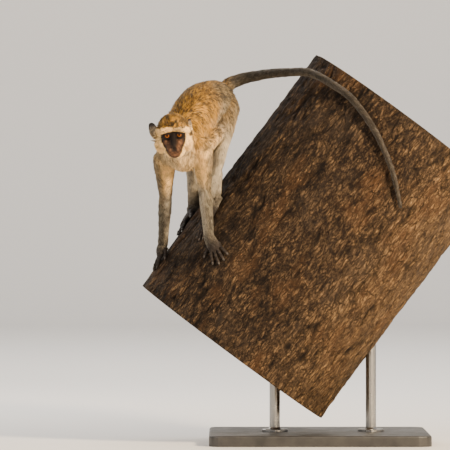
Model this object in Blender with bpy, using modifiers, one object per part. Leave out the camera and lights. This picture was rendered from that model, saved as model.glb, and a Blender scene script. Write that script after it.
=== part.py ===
"""A vervet monkey that comes head down along a leaning tree trunk, life size, as a museum shows it.

The solids give the outline of the animal out to the tips of its coat. It keeps a short cut length of
the trunk as its perch, and a flat base with two rods holds that length up. Metres, +Z up, with the
origin at the middle of the base's underside. The animal faces -Y.
"""

import math

import bmesh
import bpy
from mathutils import Matrix, Vector

# ---------------------------------------------------------------- driving dimensions
GAP = 0.0004                      # between pieces that meet
LOG_RADIUS = 0.254
LOG_LENGTH = 0.66
LOG_LEAN = math.radians(53.5)     # of its axis above the floor
LOG_CENTRE = Vector((0.0, 0.0, 0.470))
LOG_AXIS = Vector((math.cos(LOG_LEAN), 0, math.sin(LOG_LEAN)))
LOG_RIDGE = Vector((-math.sin(LOG_LEAN), 0, math.cos(LOG_LEAN)))    # out of its uppermost line
LOG_NEAR = Vector((0, -1, 0))

BASE_SIZE = Vector((0.50, 0.42, 0.024))
ROD_RADIUS = 0.012
ROD_X = (-0.100, 0.120)           # where the two rods stand on the base
ROD_IN_LOG = 0.060                # how deep a rod sits in the log
ROD_FOOT_RADIUS = 0.030

# The skeleton. LEFT and RIGHT are the animal's own.
LEFT, RIGHT = 1, -1
SIDE_NAME = {LEFT: "left", RIGHT: "right"}
PELVIS = Vector((-0.236, -0.012, 0.777))
CHEST = Vector((-0.306, -0.196, 0.678))
HEAD = Vector((-0.3286, -0.292, 0.6985))     # the middle of the braincase
HEAD_PITCH = math.radians(12)               # the face looks down by this
HEAD_ROLL = math.radians(-4.5)
HIP = {LEFT: Vector((-0.2145, -0.035, 0.765)), RIGHT: Vector((-0.261, -0.005, 0.772))}
KNEE = {LEFT: Vector((-0.2270, -0.125, 0.664)), RIGHT: Vector((-0.2850, -0.030, 0.655))}
SHOULDER = {LEFT: Vector((-0.266, -0.222, 0.664)), RIGHT: Vector((-0.350, -0.196, 0.650))}
ELBOW = {LEFT: Vector((-0.259, -0.181, 0.579)), RIGHT: Vector((-0.348, -0.116, 0.562))}
EYE_RADIUS = 0.0095
LID_RADIUS = 0.0112
EYE_OUT, EYE_FORWARD, EYE_UP = 0.0138, 0.0290, 0.0015
EYE_OPENING = Vector((0.0072, 0.0060, 0.0046))      # half its width, depth and height

# Where each hand and foot is set down on the log: along it from its middle, round it from its ridge
# towards the near side, and the heading of the digits, turned from along to round.
HAND_AT = {LEFT: (-0.148, math.radians(44.2), math.radians(122)),
           RIGHT: (-0.226, math.radians(7), math.radians(173))}
FOOT_AT = {LEFT: (-0.067, math.radians(28), math.radians(161)),
           RIGHT: (-0.112, math.radians(-10), math.radians(136))}
WRIST_HEIGHT = {LEFT: 0.025, RIGHT: 0.019}
ANKLE_AT = {LEFT: (0.018, 0.031), RIGHT: (0.004, 0.0205)}      # forward of the heel, over the bark

# The coat's outline, as radii: at the start, middle and end of each length.
UPPER_ARM = (0.027, 0.022, 0.0175)
FOREARM = (0.0175, 0.0160, 0.0125)
THIGH = (0.036, 0.0295, 0.0205)
SHANK = (0.0205, 0.0170, 0.0125)
TENDON = (0.0125, 0.0100)         # from behind the shank to the heel
TENDON_AT = {LEFT: (0.0055, 0.0050, 0), RIGHT: (0.0015, 0.0030, 0)}
TAIL_BASE_RADIUS, TAIL_MIDDLE_RADIUS, TAIL_TIP_RADIUS = 0.0170, 0.0104, 0.0046

BODY_VOXEL, DETAIL_VOXEL, SHARE_VOXEL = 0.0030, 0.0014, 0.0090
BODY_TRIANGLES = 3500
SHARE_KEPT = 0.16                 # of a share helper's faces, so that its cuts stay simple
SMALLEST_BODY = 12                # vertices; anything less is a sliver
SHARP_FROM = math.radians(50)


# ---------------------------------------------------------------- the log's surface
def bark_radius(along, turn):
    """The log is a little out of round and swells and narrows along its length."""
    swell = 0.0030 * math.sin(2 * turn + 0.6) + 0.0022 * math.sin(3 * turn - 9 * along)
    return LOG_RADIUS + swell


def on_bark(along, turn, height=0.0):
    """The point at that height over the bark."""
    out = LOG_RIDGE * math.cos(turn) + LOG_NEAR * math.sin(turn)
    return LOG_CENTRE + LOG_AXIS * along + out * (bark_radius(along, turn) + height)


class Footing:
    """A hand or foot's own frame on the bark: forward to the digits, inward to the thumb or big toe."""

    def __init__(self, side, at):
        self.side = side
        self.along, self.turn, self.heading = at

    def point(self, forward, inward, height):
        inward *= self.side
        along = self.along + forward * math.cos(self.heading) - inward * math.sin(self.heading)
        arc = forward * math.sin(self.heading) + inward * math.cos(self.heading)
        return on_bark(along, self.turn + arc / LOG_RADIUS, height)

    def up(self, forward):
        return (self.point(forward, 0, 0.02) - self.point(forward, 0, 0)).normalized()


HAND = {side: Footing(side, HAND_AT[side]) for side in (LEFT, RIGHT)}
FOOT = {side: Footing(side, FOOT_AT[side]) for side in (LEFT, RIGHT)}
WRIST = {side: HAND[side].point(0, 0, WRIST_HEIGHT[side]) for side in (LEFT, RIGHT)}
ANKLE = {side: FOOT[side].point(ANKLE_AT[side][0], 0, ANKLE_AT[side][1]) for side in (LEFT, RIGHT)}


# ---------------------------------------------------------------- the head's own frame
HEAD_TURN = Matrix.Rotation(HEAD_ROLL, 3, "Y") @ Matrix.Rotation(HEAD_PITCH, 3, "X")


def in_head(out, forward, up):
    """A place on the head: out to the animal's left, forward to the muzzle, up to the crown."""
    return HEAD + HEAD_TURN @ Vector((out, -forward, up))


# ---------------------------------------------------------------- modelling helpers
def smooth_path(points, steps):
    """Points on a Catmull-Rom curve through the given ones, of any length of vector."""
    last = len(points) - 1
    made = []
    for i in range(last):
        p0, p1 = points[max(i - 1, 0)], points[i]
        p2, p3 = points[i + 1], points[min(i + 2, last)]
        for k in range(steps):
            t = k / steps
            made.append(0.5 * (2 * p1 + (p2 - p0) * t + (2 * p0 - 5 * p1 + 4 * p2 - p3) * t ** 2
                               + (3 * p1 - p0 - 3 * p2 + p3) * t ** 3))
    return made + [points[last]]


def loft(clay, centres, widths, heights, up, steps=5, sides=18):
    """Adds a closed tube with oval sections, whose height lies along up and whose ends are round."""
    rows = [Vector((*c, w, h)) for c, w, h in zip(centres, widths, heights)]
    rows = smooth_path(rows, steps)
    places = [Vector(row[:3]) for row in rows]
    rings = []
    for i, row in enumerate(rows):
        ahead = (places[min(i + 1, len(rows) - 1)] - places[max(i - 1, 0)]).normalized()
        across = ahead.cross(up).normalized()
        lift = across.cross(ahead)
        rings.append([clay.verts.new(places[i] + across * (row[3] * math.cos(a))
                                     + lift * (row[4] * math.sin(a)))
                      for a in (2 * math.pi * k / sides for k in range(sides))])
    for ring, following in zip(rings, rings[1:]):
        for k in range(sides):
            clay.faces.new((ring[k - 1], ring[k], following[k], following[k - 1]))
    for ring, place, row, sign in ((rings[0], places[0], rows[0], -1), (rings[-1], places[-1], rows[-1], 1)):
        ahead = (places[1] - places[0] if sign < 0 else places[-1] - places[-2]).normalized()
        tip = clay.verts.new(place + ahead * (sign * 0.6 * min(row[3], row[4])))
        for k in range(sides):
            clay.faces.new((ring[k - 1], ring[k], tip) if sign > 0 else (ring[k], ring[k - 1], tip))


def tube(clay, centres, radii, steps=5, sides=14):
    """Adds a closed round tube through the centres."""
    run = (centres[-1] - centres[0]).normalized()
    loft(clay, centres, radii, radii, run.orthogonal(), steps, sides)


def ball(clay, centre, radii, turn=None, fineness=3):
    """Adds an ellipsoid."""
    turn = (turn or Matrix.Identity(3)).to_4x4()
    place = Matrix.Translation(centre) @ turn @ Matrix.Diagonal((*radii, 1))
    bmesh.ops.create_icosphere(clay, subdivisions=fineness, radius=1, matrix=place)


def head_ball(clay, out, forward, up, radii, turn=None):
    """Adds an ellipsoid on the head, with its radii out, forward and up."""
    ball(clay, in_head(out, forward, up), radii, HEAD_TURN @ (turn or Matrix.Identity(3)))


def to_object(name, clay, collection):
    mesh = bpy.data.meshes.new(name)
    bmesh.ops.recalc_face_normals(clay, faces=clay.faces)
    clay.to_mesh(mesh)
    clay.free()
    obj = bpy.data.objects.new(name, mesh)
    collection.objects.link(obj)
    return obj


def apply_modifiers(obj):
    """Turns the object's evaluated shape into its mesh."""
    graph = bpy.context.evaluated_depsgraph_get()
    mesh = bpy.data.meshes.new_from_object(obj.evaluated_get(graph))
    obj.modifiers.clear()
    obj.data = mesh


def fuse(obj, voxel, passes):
    """Makes overlapping closed shapes one skin, and rounds the creases between them."""
    remesh = obj.modifiers.new("fuse", "REMESH")
    remesh.mode = "VOXEL"
    remesh.voxel_size = voxel
    soften = obj.modifiers.new("soften", "SMOOTH")
    soften.factor = 0.5
    soften.iterations = passes
    apply_modifiers(obj)


# ---------------------------------------------------------------- the animal's volumes
def add_trunk(clay):
    """Rump to breast: arched, deep at the ribs, narrower at the loin."""
    centres = [Vector(c) for c in (
        (-0.228, 0.026, 0.788), PELVIS, (-0.254, -0.065, 0.774), (-0.275, -0.113, 0.757),
        (-0.292, -0.160, 0.722), CHEST, (-0.316, -0.228, 0.652))]
    widths = (0.036, 0.049, 0.047, 0.050, 0.053, 0.051, 0.041)
    heights = (0.036, 0.051, 0.051, 0.056, 0.062, 0.062, 0.046)
    loft(clay, centres, widths, heights, Vector((0, 0, 1)), sides=28)


def add_limbs(clay):
    for side in (LEFT, RIGHT):
        arm = [SHOULDER[side], SHOULDER[side].lerp(ELBOW[side], 0.5), ELBOW[side]]
        tube(clay, arm, UPPER_ARM)
        tube(clay, [ELBOW[side], ELBOW[side].lerp(WRIST[side], 0.5), WRIST[side]], FOREARM)
        tube(clay, [HIP[side], HIP[side].lerp(KNEE[side], 0.5), KNEE[side]], THIGH)
        calf = KNEE[side].lerp(ANKLE[side], 0.4) + Vector((0, 0.004, 0))
        tube(clay, [KNEE[side], calf, ANKLE[side]], SHANK)
        tendon = KNEE[side].lerp(ANKLE[side], 0.38) + Vector(TENDON_AT[side])
        tube(clay, [tendon, FOOT[side].point(0, 0, 0.0120)], TENDON)
        ball(clay, SHOULDER[side].lerp(CHEST, 0.3), (0.030, 0.034, 0.038))
        ball(clay, HIP[side] + Vector((0.005 * side, 0.020, 0.001)), (0.029, 0.033, 0.036))


def add_neck(clay):
    centres = [CHEST + Vector((0.004, 0.015, 0.015)), Vector((-0.320, -0.240, 0.690)),
               in_head(0, -0.018, -0.010)]
    loft(clay, centres, (0.048, 0.042, 0.038), (0.050, 0.044, 0.038), Vector((0, 0, 1)))


def tail_path():
    """Up off the rump, over in a long arch to the near side, and down along the bark."""
    free = [Vector(p) for p in (
        (-0.224, 0.020, 0.800), (-0.198, 0.030, 0.822), (-0.160, 0.006, 0.834),
        (-0.1125, -0.040, 0.8405), (-0.0675, -0.090, 0.8420), (-0.0225, -0.140, 0.8385))]
    lying = ((0.2897, 46.5, 0.0118), (0.2874, 61.5, 0.0106), (0.2635, 78.5, 0.0097),
             (0.2257, 94.0, 0.0089), (0.1920, 104.5, 0.0079), (0.1576, 114.0, 0.0066))
    return free + [on_bark(along, math.radians(turn), height) for along, turn, height in lying]


def add_tail(clay):
    path = tail_path()
    radii = []
    for i in range(len(path)):
        t = i / (len(path) - 1)
        taper = TAIL_MIDDLE_RADIUS + (TAIL_BASE_RADIUS - TAIL_MIDDLE_RADIUS) * (1 - min(t / 0.45, 1)) ** 1.3
        radii.append(taper - (TAIL_MIDDLE_RADIUS - TAIL_TIP_RADIUS) * max(0, (t - 0.45) / 0.55) ** 1.6)
    tube(clay, path, radii, steps=6, sides=14)


def add_head(clay):
    """Braincase, brow, muzzle and jaw, with the ruff of long hair on the cheeks."""
    head_ball(clay, 0, -0.006, 0.006, (0.0385, 0.0420, 0.0385))
    for side in (LEFT, RIGHT):
        tilt = Matrix.Rotation(-0.35 * side, 3, "Z")
        head_ball(clay, 0.0120 * side, 0.0285, 0.0125, (0.0150, 0.0100, 0.0055), tilt)
        head_ball(clay, 0.0165 * side, 0.0265, -0.0140, (0.0120, 0.0120, 0.0125))
        head_ball(clay, EYE_OUT * side, EYE_FORWARD, EYE_UP, (LID_RADIUS,) * 3)
        head_ball(clay, 0.0285 * side, 0.0030, -0.0165, (0.0155, 0.0240, 0.0270),
                  Matrix.Rotation(0.30 * side, 3, "Y"))
        head_ball(clay, 0.0075 * side, 0.0505, -0.0275, (0.0085, 0.0100, 0.0085))
    head_ball(clay, 0, 0.0270, 0.0130, (0.0280, 0.0095, 0.0055))
    bridge = ((0.015, 0.005), (0.036, -0.004), (0.0510, -0.0145), (0.0580, -0.0195))
    loft(clay, [in_head(0, *place) for place in bridge],
         (0.012, 0.0095, 0.0085, 0.0070), (0.012, 0.0095, 0.0080, 0.0058), Vector((0, 0, 1)))
    muzzle = ((0.005, -0.018), (0.030, -0.021), (0.0470, -0.0265), (0.0550, -0.0280))
    loft(clay, [in_head(0, *place) for place in muzzle],
         (0.028, 0.0215, 0.0160, 0.0110), (0.022, 0.0170, 0.0120, 0.0085), Vector((0, 0, 1)))
    jaw = ((0.000, -0.028), (0.025, -0.035), (0.042, -0.0390), (0.0495, -0.0395))
    loft(clay, [in_head(0, *place) for place in jaw],
         (0.028, 0.0200, 0.0130, 0.0085), (0.017, 0.0115, 0.0080, 0.0058), Vector((0, 0, 1)))


def ear_turn(side):
    """Turns a disc that faces forward so that it faces out and a little down, as the ear does."""
    return Matrix.Rotation(0.85 * side, 3, "Z") @ Matrix.Rotation(-0.20 * side, 3, "Y")


def add_ears(clay):
    for side in (LEFT, RIGHT):
        head_ball(clay, 0.0425 * side, -0.006, 0.007, (0.0125, 0.0040, 0.0205), ear_turn(side))
        head_ball(clay, 0.0450 * side, -0.007, 0.016, (0.0075, 0.0034, 0.0135), ear_turn(side))


def add_digit(clay, footing, base, length, angle, radius, arch):
    """One finger or toe: a straight fan line on the bark, arched at its middle joint."""
    forward, inward, height = base
    heading = math.radians(angle)
    path = []
    for share, lift in ((-0.30, height), (0.0, height + 0.2 * arch), (0.38, height * 0.55 + arch),
                        (0.72, radius * 1.15 + 0.25 * arch), (0.94, radius * 0.85)):
        reach = share * length
        path.append(footing.point(forward + reach * math.cos(heading),
                                  inward + reach * math.sin(heading), lift))
    radii = [radius * k for k in (1.15, 1.12, 1.05, 0.92, 0.72)]
    tube(clay, path, radii, steps=4, sides=12)


# (forward, inward) of the digit's root, its length and the angle that it fans inward by
FINGERS = ((0.0245, 0.0118, 0.031, 13), (0.0265, 0.0042, 0.035, 0), (0.0255, -0.0038, 0.033, -10),
           (0.0215, -0.0112, 0.029, -22))
THUMB = (0.0090, 0.0150, 0.027, 47)
TOES = ((0.0700, 0.0098, 0.031, 10), (0.0715, 0.0032, 0.034, 3), (0.0700, -0.0034, 0.032, -4),
        (0.0665, -0.0098, 0.027, -11))
BIG_TOE = (0.0400, 0.0115, 0.032, 36)


def add_hands(clay):
    for side in (LEFT, RIGHT):
        hand = HAND[side]
        loft(clay, [WRIST[side], hand.point(0.014, 0.001, 0.0165), hand.point(0.028, 0, 0.0095)],
             (0.0120, 0.0150, 0.0145), (0.0110, 0.0095, 0.0062), hand.up(0.02))
        for forward, inward, length, angle in FINGERS:
            add_digit(clay, hand, (forward, inward, 0.0085), length, angle, 0.0043, 0.0035)
        forward, inward, length, angle = THUMB
        add_digit(clay, hand, (forward, inward, 0.0095), length, angle, 0.0045, 0.0)


def add_feet(clay):
    for side in (LEFT, RIGHT):
        foot = FOOT[side]
        loft(clay, [foot.point(-0.004, 0, 0.0095), foot.point(0.018, 0, 0.0098),
                    foot.point(0.046, 0.001, 0.0088), foot.point(0.072, 0, 0.0070)],
             (0.0095, 0.0125, 0.0145, 0.0140), (0.0092, 0.0097, 0.0086, 0.0062), foot.up(0.03))
        tube(clay, [ANKLE[side], foot.point(0.022, 0, 0.017)], (0.0130, 0.0125))
        for forward, inward, length, angle in TOES:
            add_digit(clay, foot, (forward, inward, 0.0080), length, angle, 0.0041, 0.0025)
        forward, inward, length, angle = BIG_TOE
        add_digit(clay, foot, (forward, inward, 0.0085), length, angle, 0.0052, 0.0)


# ---------------------------------------------------------------- parting the animal
def copy_of(obj, name):
    made = bpy.data.objects.new(name, obj.data.copy())
    obj.users_collection[0].objects.link(made)
    return made


def boolean(obj, other, operation):
    """Cuts the object by the other one, or keeps what both hold."""
    modifier = obj.modifiers.new(operation, "BOOLEAN")
    modifier.operation = operation
    modifier.object = other
    apply_modifiers(obj)


def helper(add, *wanted):
    """A closed helper shape, kept out of the model."""
    clay = bmesh.new()
    add(clay, *wanted)
    obj = to_object("helper", clay, HELPERS)
    obj.hide_render = True
    obj.display_type = "WIRE"
    return obj


def part_off(whole, name, add, side, voxel):
    """Makes the share of the whole that lies in a helper shape its own piece, a gap away."""
    share = helper(add, side)
    fuse(share, voxel, 2)
    fewer = share.modifiers.new("fewer", "DECIMATE")
    fewer.ratio = SHARE_KEPT
    share.modifiers.new("flat", "TRIANGULATE")
    apply_modifiers(share)
    piece = copy_of(whole, name)
    boolean(piece, share, "INTERSECT")
    grow = share.modifiers.new("grow", "DISPLACE")
    grow.mid_level = 0
    grow.strength = GAP
    apply_modifiers(share)
    boolean(whole, share, "DIFFERENCE")
    return piece


def split(whole, name, point, normal):
    """Parts the whole along a plane: what lies on the normal's side becomes the named piece."""
    piece = copy_of(whole, name)
    normal = normal.normalized()
    for obj, sign in ((piece, 1), (whole, -1)):
        mesh = bmesh.new()
        mesh.from_mesh(obj.data)
        bmesh.ops.bisect_plane(mesh, geom=mesh.verts[:] + mesh.edges[:] + mesh.faces[:], dist=1e-7,
                               plane_co=point + normal * (sign * GAP / 2), plane_no=normal * -sign,
                               clear_outer=True)
        open_edges = [edge for edge in mesh.edges if edge.is_boundary]
        bmesh.ops.holes_fill(mesh, edges=open_edges, sides=0)
        bmesh.ops.triangulate(mesh, faces=[face for face in mesh.faces if len(face.verts) > 4])
        mesh.to_mesh(obj.data)
        mesh.free()
    return piece


def thigh_share(clay, side):
    """Round the haunch and down to the knee."""
    out = Vector((0.014 * side, 0.0, 0.0))
    centres = [HIP[side] + out * 0.9 + Vector((0, 0.030, 0.004)), HIP[side] + out * 0.9,
               HIP[side].lerp(KNEE[side], 0.5) + out * 0.6, KNEE[side]]
    tube(clay, centres, (0.036, 0.043, 0.037, 0.028), steps=6, sides=20)


def upper_arm_share(clay, side):
    """Round the shoulder and down to the elbow."""
    out = Vector((0.010 * side, 0, 0))
    centres = [SHOULDER[side] + out + Vector((0, 0.002, 0.022)), SHOULDER[side] + out * 0.8,
               SHOULDER[side].lerp(ELBOW[side], 0.5) + out * 0.2, ELBOW[side]]
    tube(clay, centres, (0.026, 0.034, 0.028, 0.0240), steps=6, sides=20)


def ear_share(clay, side):
    """Round the ear, and just into the head."""
    turn = ear_turn(side)
    head_ball(clay, 0.0455 * side, -0.006, 0.008, (0.0155, 0.0062, 0.0215), turn)


def eye_ball(clay, side, grow):
    eye = bmesh.ops.create_uvsphere(clay, u_segments=14, v_segments=9, radius=EYE_RADIUS + grow)
    place = Matrix.Translation(in_head(EYE_OUT * side, EYE_FORWARD, EYE_UP)) @ HEAD_TURN.to_4x4()
    bmesh.ops.transform(clay, matrix=place, verts=eye["verts"])


def eye_opening(clay, side):
    """The almond between the lids."""
    ball(clay, in_head(EYE_OUT * side, EYE_FORWARD + EYE_RADIUS, EYE_UP), EYE_OPENING, HEAD_TURN, fineness=2)


# ---------------------------------------------------------------- the log and its stand
def log_shape(clay, grow):
    """A cylinder whose rings then follow the bark's outline."""
    rings = 7
    bmesh.ops.create_cone(clay, cap_ends=True, segments=48, radius1=1, radius2=1, depth=LOG_LENGTH)
    for k in range(1, rings):
        geometry = clay.verts[:] + clay.edges[:] + clay.faces[:]
        bmesh.ops.bisect_plane(clay, geom=geometry, plane_no=(0, 0, 1),
                               plane_co=(0, 0, LOG_LENGTH * (k / rings - 0.5)))
    for vert in clay.verts:
        vert.co = on_bark(vert.co.z, math.atan2(vert.co.y, vert.co.x), grow)


def rod_entry(x):
    """How high a rod at x meets the log: at its lower end face, or at its underside."""
    below = LOG_CENTRE - LOG_AXIS * (LOG_LENGTH / 2)
    at_end = below.z - (x - below.x) * LOG_AXIS.x / LOG_AXIS.z
    along = (x + LOG_RIDGE.x * LOG_RADIUS) / LOG_AXIS.x
    at_side = LOG_CENTRE.z + LOG_AXIS.z * along - LOG_RIDGE.z * LOG_RADIUS
    return max(at_end, at_side)


def cylinder(clay, x, radius, low, high):
    bmesh.ops.create_cone(clay, cap_ends=True, segments=16, radius1=radius, radius2=radius, depth=high - low,
                          matrix=Matrix.Translation((x, 0, (low + high) / 2)))


def add_stand(parts):
    base = bmesh.new()
    bmesh.ops.create_cube(base, size=1, matrix=Matrix.Translation((0, 0, BASE_SIZE.z / 2))
                          @ Matrix.Diagonal((*BASE_SIZE, 1)))
    upright = [edge for edge in base.edges if abs(edge.verts[0].co.z - edge.verts[1].co.z) > 0.01]
    bmesh.ops.bevel(base, geom=upright, offset=0.030, segments=5, affect="EDGES", profile=0.5)
    rim = [edge for edge in base.edges if min(v.co.z for v in edge.verts) > BASE_SIZE.z - 1e-5]
    bmesh.ops.bevel(base, geom=rim, offset=0.004, segments=2, affect="EDGES", profile=0.5)
    to_object("stand_base", base, parts)
    for name, x in zip(("stand_rod_low", "stand_rod_high"), ROD_X):
        low, high = BASE_SIZE.z + GAP, rod_entry(x) + ROD_IN_LOG
        profile = ((0, high), (ROD_RADIUS - 0.002, high), (ROD_RADIUS, high - 0.002),
                   (ROD_RADIUS, low + 0.009), (ROD_RADIUS + 0.003, low + 0.006),
                   (ROD_FOOT_RADIUS - 0.001, low + 0.005), (ROD_FOOT_RADIUS, low + 0.004),
                   (ROD_FOOT_RADIUS, low), (0, low))
        rod = bmesh.new()
        verts = [rod.verts.new((r, 0, z)) for r, z in profile]
        for first, second in zip(verts, verts[1:]):
            rod.edges.new((first, second))
        obj = bpy.data.objects.new(name, bpy.data.meshes.new(name))
        rod.to_mesh(obj.data)
        rod.free()
        parts.objects.link(obj)
        obj.location.x = x
        screw = obj.modifiers.new("turn", "SCREW")
        screw.steps = screw.render_steps = 16
        screw.use_merge_vertices = True
        screw.merge_threshold = 0.00005
        apply_modifiers(obj)


def add_log(parts):
    clay = bmesh.new()
    log_shape(clay, 0.0)
    log = to_object("perch_log", clay, parts)
    for x in ROD_X:
        high = rod_entry(x) + ROD_IN_LOG + GAP
        socket = helper(lambda made: cylinder(made, x, ROD_RADIUS + GAP, high - 0.16, high))
        boolean(log, socket, "DIFFERENCE")


# ---------------------------------------------------------------- the whole
def modelled_whole(parts):
    """The animal in one piece. Decimate keeps its finest faces where the shape turns most."""
    clay = bmesh.new()
    add_trunk(clay)
    add_limbs(clay)
    add_neck(clay)
    add_tail(clay)
    body = to_object("body", clay, parts)
    fuse(body, BODY_VOXEL, 10)
    clay = bmesh.new()
    clay.from_mesh(body.data)
    bpy.data.objects.remove(body)
    add_head(clay)
    add_ears(clay)
    add_hands(clay)
    add_feet(clay)
    whole = to_object("torso", clay, parts)
    fuse(whole, DETAIL_VOXEL, 3)

    fewer = whole.modifiers.new("fewer", "DECIMATE")
    fewer.ratio = BODY_TRIANGLES / (2 * len(whole.data.polygons))
    apply_modifiers(whole)
    return whole


def loose_parts(whole):
    """The separate bodies of one object, as objects, without the slivers that a cut leaves."""
    before = set(bpy.data.objects)
    bpy.context.view_layer.objects.active = whole
    whole.select_set(True)
    bpy.ops.mesh.separate(type="LOOSE")
    bodies = [whole, *(obj for obj in bpy.data.objects if obj not in before)]
    for obj in [body for body in bodies if len(body.data.vertices) < SMALLEST_BODY]:
        bodies.remove(obj)
        bpy.data.objects.remove(obj)
    return bodies


def nearest(objects, point):
    return min(objects, key=lambda obj: min((vert.co - point).length for vert in obj.data.vertices))


def part_animal(whole):
    """Divides the animal where a person would name its parts."""
    for side in (LEFT, RIGHT):
        name = SIDE_NAME[side]
        part_off(whole, f"thigh_{name}", thigh_share, side, SHARE_VOXEL)
        part_off(whole, f"upper_arm_{name}", upper_arm_share, side, SHARE_VOXEL)
        part_off(whole, f"ear_{name}", ear_share, side, BODY_VOXEL)
    rest = loose_parts(whole)
    for side in (LEFT, RIGHT):
        name = SIDE_NAME[side]
        shank, forearm = nearest(rest, ANKLE[side]), nearest(rest, WRIST[side])
        shank.name, forearm.name = f"shank_{name}", f"forearm_{name}"
        split(shank, f"foot_{name}", ANKLE[side], -FOOT[side].up(0.018))
        split(forearm, f"hand_{name}", WRIST[side].lerp(ELBOW[side], 0.03),
              (WRIST[side] - ELBOW[side]).normalized() - HAND[side].up(0))
    torso = nearest(rest, PELVIS)
    torso.name = "torso"
    path = tail_path()
    tail = split(torso, "tail_root", path[1].lerp(path[0], 0.6), path[1] - path[0])
    for name, k in (("tail_arch", 3), ("tail_fall", 6), ("tail_end", 9)):
        tail = split(tail, name, path[k], path[k + 1] - path[k - 1])
    ahead = HEAD - CHEST
    neck = split(torso, "neck", Vector((-0.316, -0.230, 0.690)), ahead)
    split(neck, "head", in_head(0, -0.036, -0.006), ahead)


# ---------------------------------------------------------------- what each piece looks like
TAWNY, PALE_GREY, CREAM = (0.40, 0.27, 0.12), (0.42, 0.39, 0.33), (0.62, 0.52, 0.38)
GRIZZLED, DARK_GREY, BLACK_SKIN = (0.27, 0.24, 0.19), (0.13, 0.12, 0.10), (0.035, 0.030, 0.028)
LOOKS = {
    "head": (CREAM, 0.90, 0.0), "neck": (TAWNY, 0.90, 0.0), "torso": (TAWNY, 0.90, 0.0),
    "ear": (DARK_GREY, 0.70, 0.0), "eye": ((0.50, 0.20, 0.03), 0.08, 0.0),
    "upper_arm": (CREAM, 0.90, 0.0), "forearm": (GRIZZLED, 0.90, 0.0), "hand": (BLACK_SKIN, 0.55, 0.0),
    "thigh": (PALE_GREY, 0.90, 0.0), "shank": (PALE_GREY, 0.90, 0.0), "foot": (BLACK_SKIN, 0.55, 0.0),
    "tail_root": (PALE_GREY, 0.90, 0.0), "tail_arch": (GRIZZLED, 0.90, 0.0),
    "tail_fall": (GRIZZLED, 0.90, 0.0), "tail_end": (DARK_GREY, 0.90, 0.0),
    "perch_log": ((0.10, 0.055, 0.030), 0.95, 0.0),
    "stand_base": ((0.030, 0.028, 0.026), 0.45, 0.0), "stand_rod": ((0.55, 0.55, 0.56), 0.28, 1.0),
}


def give_look(obj):
    """Its own material, and smooth shading that stops at the edges between flat ends and round sides."""
    colour, roughness, metallic = LOOKS[max((key for key in LOOKS if obj.name.startswith(key)), key=len)]
    material = bpy.data.materials.new(obj.name)
    material.use_nodes = True
    surface = material.node_tree.nodes["Principled BSDF"]
    surface.inputs["Base Color"].default_value = (*colour, 1)
    surface.inputs["Roughness"].default_value = roughness
    surface.inputs["Metallic"].default_value = metallic
    obj.data.materials.clear()
    obj.data.materials.append(material)
    obj.data.shade_smooth()
    obj.data.set_sharp_from_angle(angle=SHARP_FROM)


def main():
    parts = new_collection("vervet_monkey")
    whole = modelled_whole(parts)
    boolean(whole, helper(log_shape, GAP), "DIFFERENCE")
    for side in (LEFT, RIGHT):
        boolean(whole, helper(eye_opening, side), "DIFFERENCE")
        boolean(whole, helper(eye_ball, side, GAP), "DIFFERENCE")
    part_animal(whole)
    for side in (LEFT, RIGHT):
        clay = bmesh.new()
        eye_ball(clay, side, 0.0)
        to_object(f"eye_{SIDE_NAME[side]}", clay, parts)
    add_log(parts)
    add_stand(parts)
    for obj in parts.objects:
        give_look(obj)


def new_collection(name):
    collection = bpy.data.collections.new(name)
    bpy.context.scene.collection.children.link(collection)
    return collection


for old in list(bpy.data.objects):
    bpy.data.objects.remove(old)
HELPERS = new_collection("helpers")
main()
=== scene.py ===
"""The visual model of a vervet monkey that comes head down along a leaning tree trunk, with its stand.

The frame gives the CAD nodes. One skin replaces the animal's flesh, and solid tufts of hair lie over
it. Lengths are metres, +Z is up, and the animal faces -Y.
"""

import math

import bmesh
import bpy
import numpy as np
from mathutils import Matrix, Vector
from mathutils.bvhtree import BVHTree


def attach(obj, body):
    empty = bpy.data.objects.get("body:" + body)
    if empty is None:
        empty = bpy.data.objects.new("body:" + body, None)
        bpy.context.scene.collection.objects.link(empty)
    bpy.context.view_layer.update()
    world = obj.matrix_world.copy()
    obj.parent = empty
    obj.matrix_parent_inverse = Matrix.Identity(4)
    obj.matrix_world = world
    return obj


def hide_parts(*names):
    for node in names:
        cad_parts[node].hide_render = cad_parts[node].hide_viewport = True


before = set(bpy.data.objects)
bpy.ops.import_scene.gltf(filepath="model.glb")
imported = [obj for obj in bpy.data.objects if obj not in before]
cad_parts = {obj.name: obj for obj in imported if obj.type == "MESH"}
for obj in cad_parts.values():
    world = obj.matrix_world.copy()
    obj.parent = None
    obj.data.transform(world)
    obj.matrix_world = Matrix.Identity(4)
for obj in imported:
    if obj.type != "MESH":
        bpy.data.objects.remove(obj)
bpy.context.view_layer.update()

# ---------------------------------------------------------------- dimensions, as in the CAD model
LOG_RADIUS, LOG_LENGTH = 0.254, 0.66
LOG_LEAN = math.radians(53.5)
LOG_CENTRE = Vector((0.0, 0.0, 0.470))
LOG_AXIS = Vector((math.cos(LOG_LEAN), 0, math.sin(LOG_LEAN)))
LOG_RIDGE = Vector((-math.sin(LOG_LEAN), 0, math.cos(LOG_LEAN)))
LOG_NEAR = Vector((0, -1, 0))

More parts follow.
